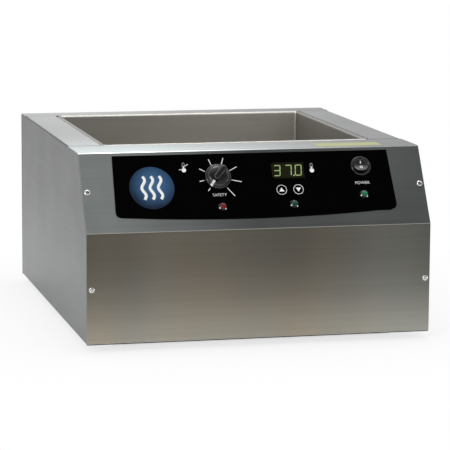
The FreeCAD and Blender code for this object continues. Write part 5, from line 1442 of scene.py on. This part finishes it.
@dataclass
class Display:
    """The lit digits behind the window."""

    slant: Slant
    across: float = 39.5 * MM
    up: float = 67.35 * MM
    height: float = 13.0 * MM
    width: float = 7.6 * MM
    stroke: float = 1.0 * MM
    lean: float = math.radians(6.0)
    thickness: float = 0.06 * MM

    segments: ClassVar[dict[str, str]] = {"3": "abcdg", "7": "abc", "0": "abcdef"}

    def build(self) -> None:
        """Builds the digits of the reading and the point."""
        matrix = self.slant.matrix(self.across, self.up, self.slant.film - 0.01 * MM)
        field = Shape().plate(self.field_outline(), 0.0, 0.03 * MM)
        settle(field.finished("display_field", matrix, FIELD_GLOW, smooth=False), "housing", "window_film")
        shape = Shape()
        for digit, middle in (("3", -13.6 * MM), ("7", -1.0 * MM), ("0", 10.2 * MM)):
            for segment in self.segments[digit]:
                shape.plate([self.leaned(p, middle) for p in self.outline(segment)], 0.0, self.thickness)
        dot = circle_outline(0.85 * MM, 16, (4.6 * MM, -self.height / 2 + 0.5 * MM))
        shape.plate(dot, 0.0, self.thickness)
        settle(shape.finished("display_digits", matrix, DIGIT_GLOW, smooth=False), "housing", "window_film")

    @staticmethod
    def field_outline() -> list[Point]:
        """Gives the outline of the lit field, which reaches further left of the middle than right."""
        outline = round_outline(35.0 * MM, 16.5 * MM, 1.0 * MM)
        return [(x - 2.0 * MM, y) for x, y in outline]

    def leaned(self, spot: Point, middle: float) -> Point:
        """Leans a corner of a digit to the right and moves the digit to its place."""
        return spot[0] + middle + spot[1] * math.tan(self.lean), spot[1]

    def outline(self, segment: str) -> list[Point]:
        """Gives the six-sided outline of one segment of a digit."""
        half_w, half_h, s = self.width / 2, self.height / 2, self.stroke / 2
        level = {"a": half_h - s, "g": 0.0, "d": -half_h + s}
        if segment in level:
            y, reach = level[segment], half_w - s * 1.15
            end = reach - s
            return [(-reach, y), (-end, y - s), (end, y - s), (reach, y), (end, y + s), (-end, y + s)]
        x = (half_w - s) * (1 if segment in "bc" else -1)
        low, high = (0.0, half_h - s) if segment in "bf" else (-half_h + s, 0.0)
        low, high = low + s * 0.15, high - s * 0.15
        return [(x, low), (x + s, low + s), (x + s, high - s), (x, high), (x - s, high - s), (x - s, low + s)]


@dataclass
class Fasteners:
    """Cross-recess screws of the housing and the feet with their screws."""

    slant: Slant
    head_radius: float = 3.3 * MM
    head_height: float = 1.9 * MM
    shank_radius: float = 1.5 * MM
    shank_length: float = 8.0 * MM
    side: float = 185.0 * MM
    back: float = 222.25 * MM
    lower: float = 60.0 * MM
    upper: float = 150.0 * MM
    foot_height: float = 9.2 * MM
    recess: float = 3.8 * MM

    def build(self, scatter: Tree) -> None:
        """Builds all housing screws as one piece, the feet and the feet's screws."""
        matrices, names = self.seats()
        screws = scattered(scatter, "cross_recess_screws", self.screw_pattern(), matrices, SCREW_STEEL)
        settle(screws, "housing", "screw_steel", *names)
        self.feet(scatter)

    def seats(self) -> tuple[list[Matrix], list[str]]:
        """Gives the place of every housing screw and the nodes that they stand for."""
        matrices, names = [], []
        base = self.slant.base
        for side, hand in (("left", -1), ("right", 1)):
            x = hand * self.side
            twist = Matrix.Rotation(math.radians(17.0 + 31.0 * hand), 4, "Z")
            matrices.append(self.slant.matrix(x, 47.5 * MM) @ twist)
            names.append(f"front_upper_screw_{side}")
            upright = Matrix.Rotation(math.radians(90.0), 4, "X")
            matrices.append(Matrix.Translation((x, -self.back, base + self.lower)) @ upright @ twist)
            names.append(f"front_lower_screw_{side}")
            backward = Matrix.Rotation(math.radians(-90.0), 4, "X")
            for level, height in (("lower", self.lower), ("upper", self.upper)):
                matrices.append(Matrix.Translation((x, self.back, base + height)) @ backward @ twist)
                names.append(f"rear_{level}_screw_{side}")
            low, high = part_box(f"inlet_screw_{side}")
            spot = ((low.x + high.x) / 2, high.y - self.head_height, (low.z + high.z) / 2)
            matrices.append(Matrix.Translation(spot) @ backward @ twist)
            names.append(f"inlet_screw_{side}")
        return matrices, names

    def screw_pattern(self) -> bpy.types.Object:
        """Builds a pan-head screw with a tapered cross recess, cut by a solid cross."""
        r, h = self.head_radius, self.head_height
        section = [
            (0.0, -self.shank_length),
            (self.shank_radius * 0.8, -self.shank_length + 0.3 * MM),
            (self.shank_radius, -self.shank_length + 1.0 * MM),
            (self.shank_radius, 0.0),
            (r - 0.1 * MM, 0.0),
            (r, 0.15 * MM),
            (r, h * 0.42),
            (r * 0.95, h * 0.66),
            (r * 0.82, h * 0.86),
            (r * 0.62, h * 0.97),
            (r * 0.35, h),
            (0.0, h),
        ]
        head = Shape().turned(section, sides=32).finished("screw_pattern", Matrix(), SCREW_STEEL)
        cross = Shape()
        for quarter in range(2):
            layers = []
            for level, reach, half in ((h * 0.2, 0.7, 0.28), (h + 0.4 * MM, 2.1, 0.5)):
                corners = [(-reach, -half), (reach, -half), (reach, half), (-reach, half)]
                spots = corners if quarter == 0 else [(-y, x) for x, y in corners]
                layers.append([(x * MM, y * MM, level) for x, y in spots])
            cross.layered(layers)
        cutter = cross.finished("screw_cross", Matrix(), SCREW_STEEL, smooth=False)
        cut = head.modifiers.new("recess", "BOOLEAN")
        cut.operation = "DIFFERENCE"
        cut.solver = "EXACT"
        cut.use_self = True
        cut.object = cutter
        data = plain_mesh(head, "screw_pattern_mesh")
        bpy.data.objects.remove(cutter)
        return shown("screw_pattern", data, SCREW_STEEL)

    def feet(self, scatter: Tree) -> None:
        """Builds the four rubber feet and the screws in their recesses."""
        corners = ["front_left", "front_right", "rear_left", "rear_right"]
        matrices = []
        for corner in corners:
            low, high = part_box(f"{corner}_foot")
            matrices.append(Matrix.Translation(((low.x + high.x) / 2, (low.y + high.y) / 2, low.z)))
        top, recess = self.foot_height, self.recess
        section = [
            (2.15 * MM, recess),
            (5.0 * MM, recess),
            (5.0 * MM, 0.4 * MM),
            (5.4 * MM, 0.0),
            (9.3 * MM, 0.0),
            (9.8 * MM, 0.2 * MM),
            (10.2 * MM, 0.7 * MM),
            (12.2 * MM, top - 0.9 * MM),
            (12.35 * MM, top - 0.4 * MM),
            (12.1 * MM, top),
            (2.15 * MM, top),
            (2.15 * MM, recess),
        ]
        foot = Shape().turned(section, sides=48)
        pattern = foot.finished("foot_pattern", Matrix(), FOOT_RUBBER)
        feet = scattered(scatter, "rubber_feet", pattern, matrices, FOOT_RUBBER)
        settle(feet, "housing", "foot_rubber", *[f"{corner}_foot" for corner in corners])
        head = [(0, -2.1), (1.4, -2.1), (1.9, -2.6), (3.4, -2.6), (3.8, -2.3), (4.0, -1.7), (4.0, 0)]
        shank = [(2.0, 0), (2.0, 10.8), (1.6, 11.5), (0, 11.6)]
        shape = Shape().turned([(r * MM, recess + z * MM) for r, z in head + shank], sides=32)
        pattern = shape.finished("foot_screw_pattern", Matrix(), SCREW_STEEL)
        screws = scattered(scatter, "foot_screws", pattern, matrices, SCREW_STEEL)
        settle(screws, "housing", "screw_steel", *[f"{corner}_foot_screw" for corner in corners])


@dataclass
class BlankStrip:
    """The bare yellow strip stuck to the front rim of the top."""

    slant: Slant
    left: float = 79.0 * MM
    right: float = 152.0 * MM
    front: float = -164.0 * MM
    back: float = -138.0 * MM
    thickness: float = 0.1 * MM

    def build(self) -> None:
        """Builds the strip with round corners."""
        width, depth = self.right - self.left, self.back - self.front
        shape = Shape().plate(round_outline(width, depth, 2.0 * MM), -0.02 * MM, self.thickness, 0.03 * MM)
        spot = ((self.left + self.right) / 2, (self.front + self.back) / 2, self.slant.top)
        strip = shape.finished("yellow_strip", Matrix.Translation(spot), STRIP_YELLOW)
        settle(strip, "housing", "housing_steel")


# The studio


@dataclass
class Studio:
    """Floor, soft lights, surroundings and the camera."""

    yaw: float = math.radians(13.66)
    pitch: float = math.radians(8.98)
    roll: float = math.radians(0.36)
    place: Place = (-0.633, -2.661, 0.530)
    lens: float = 190.3
    sensor: float = 36.0
    aim: Place = (0.0, 0.0, 0.12)
    floor_tone: Colour = (0.96, 0.96, 0.96)
    footprint: Point = (0.1905, 0.22225)
    reach: float = 9.0
    dim_front: float = 0.82
    front_window: float = 0.30
    bright_above: float = 0.55
    matte_sky: float = 0.72

    def build(self) -> None:
        """Builds the studio."""
        self.camera()
        self.floor()
        self.surroundings()
        self.softbox("key_light", (-1.7, -1.9, 1.5), (0.9, 0.7), 18.0, (0.93, 0.98, 1.0))
        self.softbox("top_light", (0.1, 0.1, 2.4), (0.9, 0.9), 10.0, (1.0, 1.0, 1.0))
        self.softbox("back_light", (0.62, 2.6, 0.50), (0.8, 0.6), 0.4, (0.96, 0.99, 1.0))
        self.softbox("left_glint", (-1.6, -2.1, 0.30), (0.12, 0.12), 2.5, (1.0, 1.0, 1.0))
        self.softbox("right_glint", (2.3, -1.1, 0.20), (0.12, 0.12), 2.5, (1.0, 1.0, 1.0))

    def camera(self) -> None:
        """Sets the camera at the photograph's viewing angle."""
        cy, sy = math.cos(self.yaw), math.sin(self.yaw)
        cp, sp = math.cos(self.pitch), math.sin(self.pitch)
        forward = Vector((sy * cp, cy * cp, -sp))
        right = Vector((cy, -sy, 0.0))
        up = right.cross(forward)
        cr, sr = math.cos(self.roll), math.sin(self.roll)
        right, up = right * cr + up * sr, up * cr - right * sr
        data = bpy.data.cameras.new("camera")
        data.lens = self.lens
        data.sensor_width = self.sensor
        data.clip_start, data.clip_end = 0.05, 60.0
        camera = linked("camera", data)
        rotation = Matrix((right, up, -forward)).transposed().to_4x4()
        camera.matrix_world = Matrix.Translation(self.place) @ rotation
        bpy.context.scene.camera = camera

    def floor(self) -> None:
        """Lays the pale floor: it keeps the object's shadow and turns white further out."""
        shape = Shape().plate(circle_outline(self.reach, 64), -0.01, 0.0)
        data = bpy.data.meshes.new("floor")
        shape.mesh.to_mesh(data)
        shape.mesh.free()
        data.materials.append(self.paper())
        made = linked("floor", data)
        made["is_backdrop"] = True

    def paper(self) -> bpy.types.Material:
        """Makes the floor's material."""
        paper = bpy.data.materials.new("floor_paper")
        paper.use_nodes = True
        board = Board(paper.node_tree)
        shader = paper.node_tree.nodes["Principled BSDF"]
        shader.inputs["Base Color"].default_value = (*self.floor_tone, 1.0)
        shader.inputs["Roughness"].default_value = 1.0
        shader.inputs["Specular IOR Level"].default_value = 0.0
        place = board.add("ShaderNodeTexCoord", output="Object")
        distance = board.add("ShaderNodeVectorMath", {"operation": "ABSOLUTE"}, {0: place})
        across, back, _ = board.axes(distance)
        outside = (across - self.footprint[0]).at_least(back - self.footprint[1])
        seen = board.add("ShaderNodeLightPath", output="Is Camera Ray")
        white = board.add("ShaderNodeEmission", None, {"Color": (1.0, 1.0, 1.0, 1.0), "Strength": 1.0})
        share = (outside.between(-0.056, -0.032) * 0.75 + outside.between(-0.03, 0.22) * 0.25) * seen
        lit = Signal(board, shader.outputs["BSDF"])
        mixed = board.add("ShaderNodeMixShader", None, {0: share, 1: lit, 2: white})
        board.feed(paper.node_tree.nodes["Material Output"].inputs["Surface"], mixed)
        return paper

    def surroundings(self) -> None:
        """Makes the white background and, for the other rays, a studio that is dim in front."""
        world = bpy.data.worlds.new("studio")
        world.use_nodes = True
        bpy.context.scene.world = world
        board = Board(world.node_tree)
        ray = board.add("ShaderNodeLightPath", output="Is Camera Ray")
        mirror = (ray.output("Is Glossy Ray") + ray.output("Is Transmission Ray")).clamped()
        direction = board.add("ShaderNodeTexCoord", output="Generated")
        _, back, up = board.axes(direction)
        dim = (-back).between(0.05, 0.45) * (1.0 - up.between(0.86, 0.98))
        window = up.between(0.08, 0.20) * (1.0 - up.between(0.50, 0.66))
        over = up.between(0.42, 0.62) * back.between(-0.05, 0.20)
        seen = 1.0 - dim * (self.dim_front - window * self.front_window) + over * self.bright_above
        strength = ray + (1.0 - ray) * (mirror * seen + (1.0 - mirror) * self.matte_sky)
        shade = world.node_tree.nodes["Background"]
        shade.inputs["Color"].default_value = (1.0, 1.0, 1.0, 1.0)
        board.feed(shade.inputs["Strength"], strength)

    def softbox(self, name: str, place: Place, size: Point, power: float, tone: Colour) -> None:
        """Hangs a soft light that points at the object."""
        data = bpy.data.lights.new(name, "AREA")
        data.shape = "RECTANGLE"
        data.size, data.size_y = size
        data.energy = power
        data.color = tone
        lamp = linked(name, data)
        lamp.location = place
        towards = Vector(self.aim) - Vector(place)
        lamp.rotation_mode = "QUATERNION"
        lamp.rotation_quaternion = towards.to_track_quat("-Z", "Y")
        lamp.visible_camera = False


def dress_nodes(nodes: dict[str, bpy.types.Object]) -> None:
    """Gives every carried-over node its finish."""
    for finish, names in NODE_FINISHES.items():
        for name in names:
            node = nodes[name]
            if not node.material_slots:
                node.data.materials.append(None)
            for slot in node.material_slots:
                slot.link = "OBJECT"
                slot.material = finish.material()
        LOG.info("finished %s with %s", ", ".join(names), finish.name)


def plain(bounds: tuple[Vector, Vector]) -> list[list[float]]:
    """Gives a box as plain lists of numbers."""
    return [list(corner) for corner in bounds]


def main() -> None:
    """Loads the frame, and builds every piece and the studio."""
    logging.basicConfig(level=logging.INFO, format="%(message)s")
    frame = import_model()
    cad_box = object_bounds()
    bpy.context.scene.view_settings.view_transform = "Standard"
    dress_nodes(frame["nodes"])
    slant = Slant(base=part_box("front_panel")[0].z)
    scatter = scatter_tree()
    Dial(slant).build()
    PowerSwitch(slant).build()
    Lamps(slant).build()
    ControlPrint(slant).build(dial_ring_tree(), wave_tree(), scatter)
    Display(slant).build()
    Fasteners(slant).build(scatter)
    BlankStrip(slant).build()
    Studio().build()
    {"cad": plain(cad_box), "visual": plain(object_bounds())}


if __name__ == "__main__":
    main()
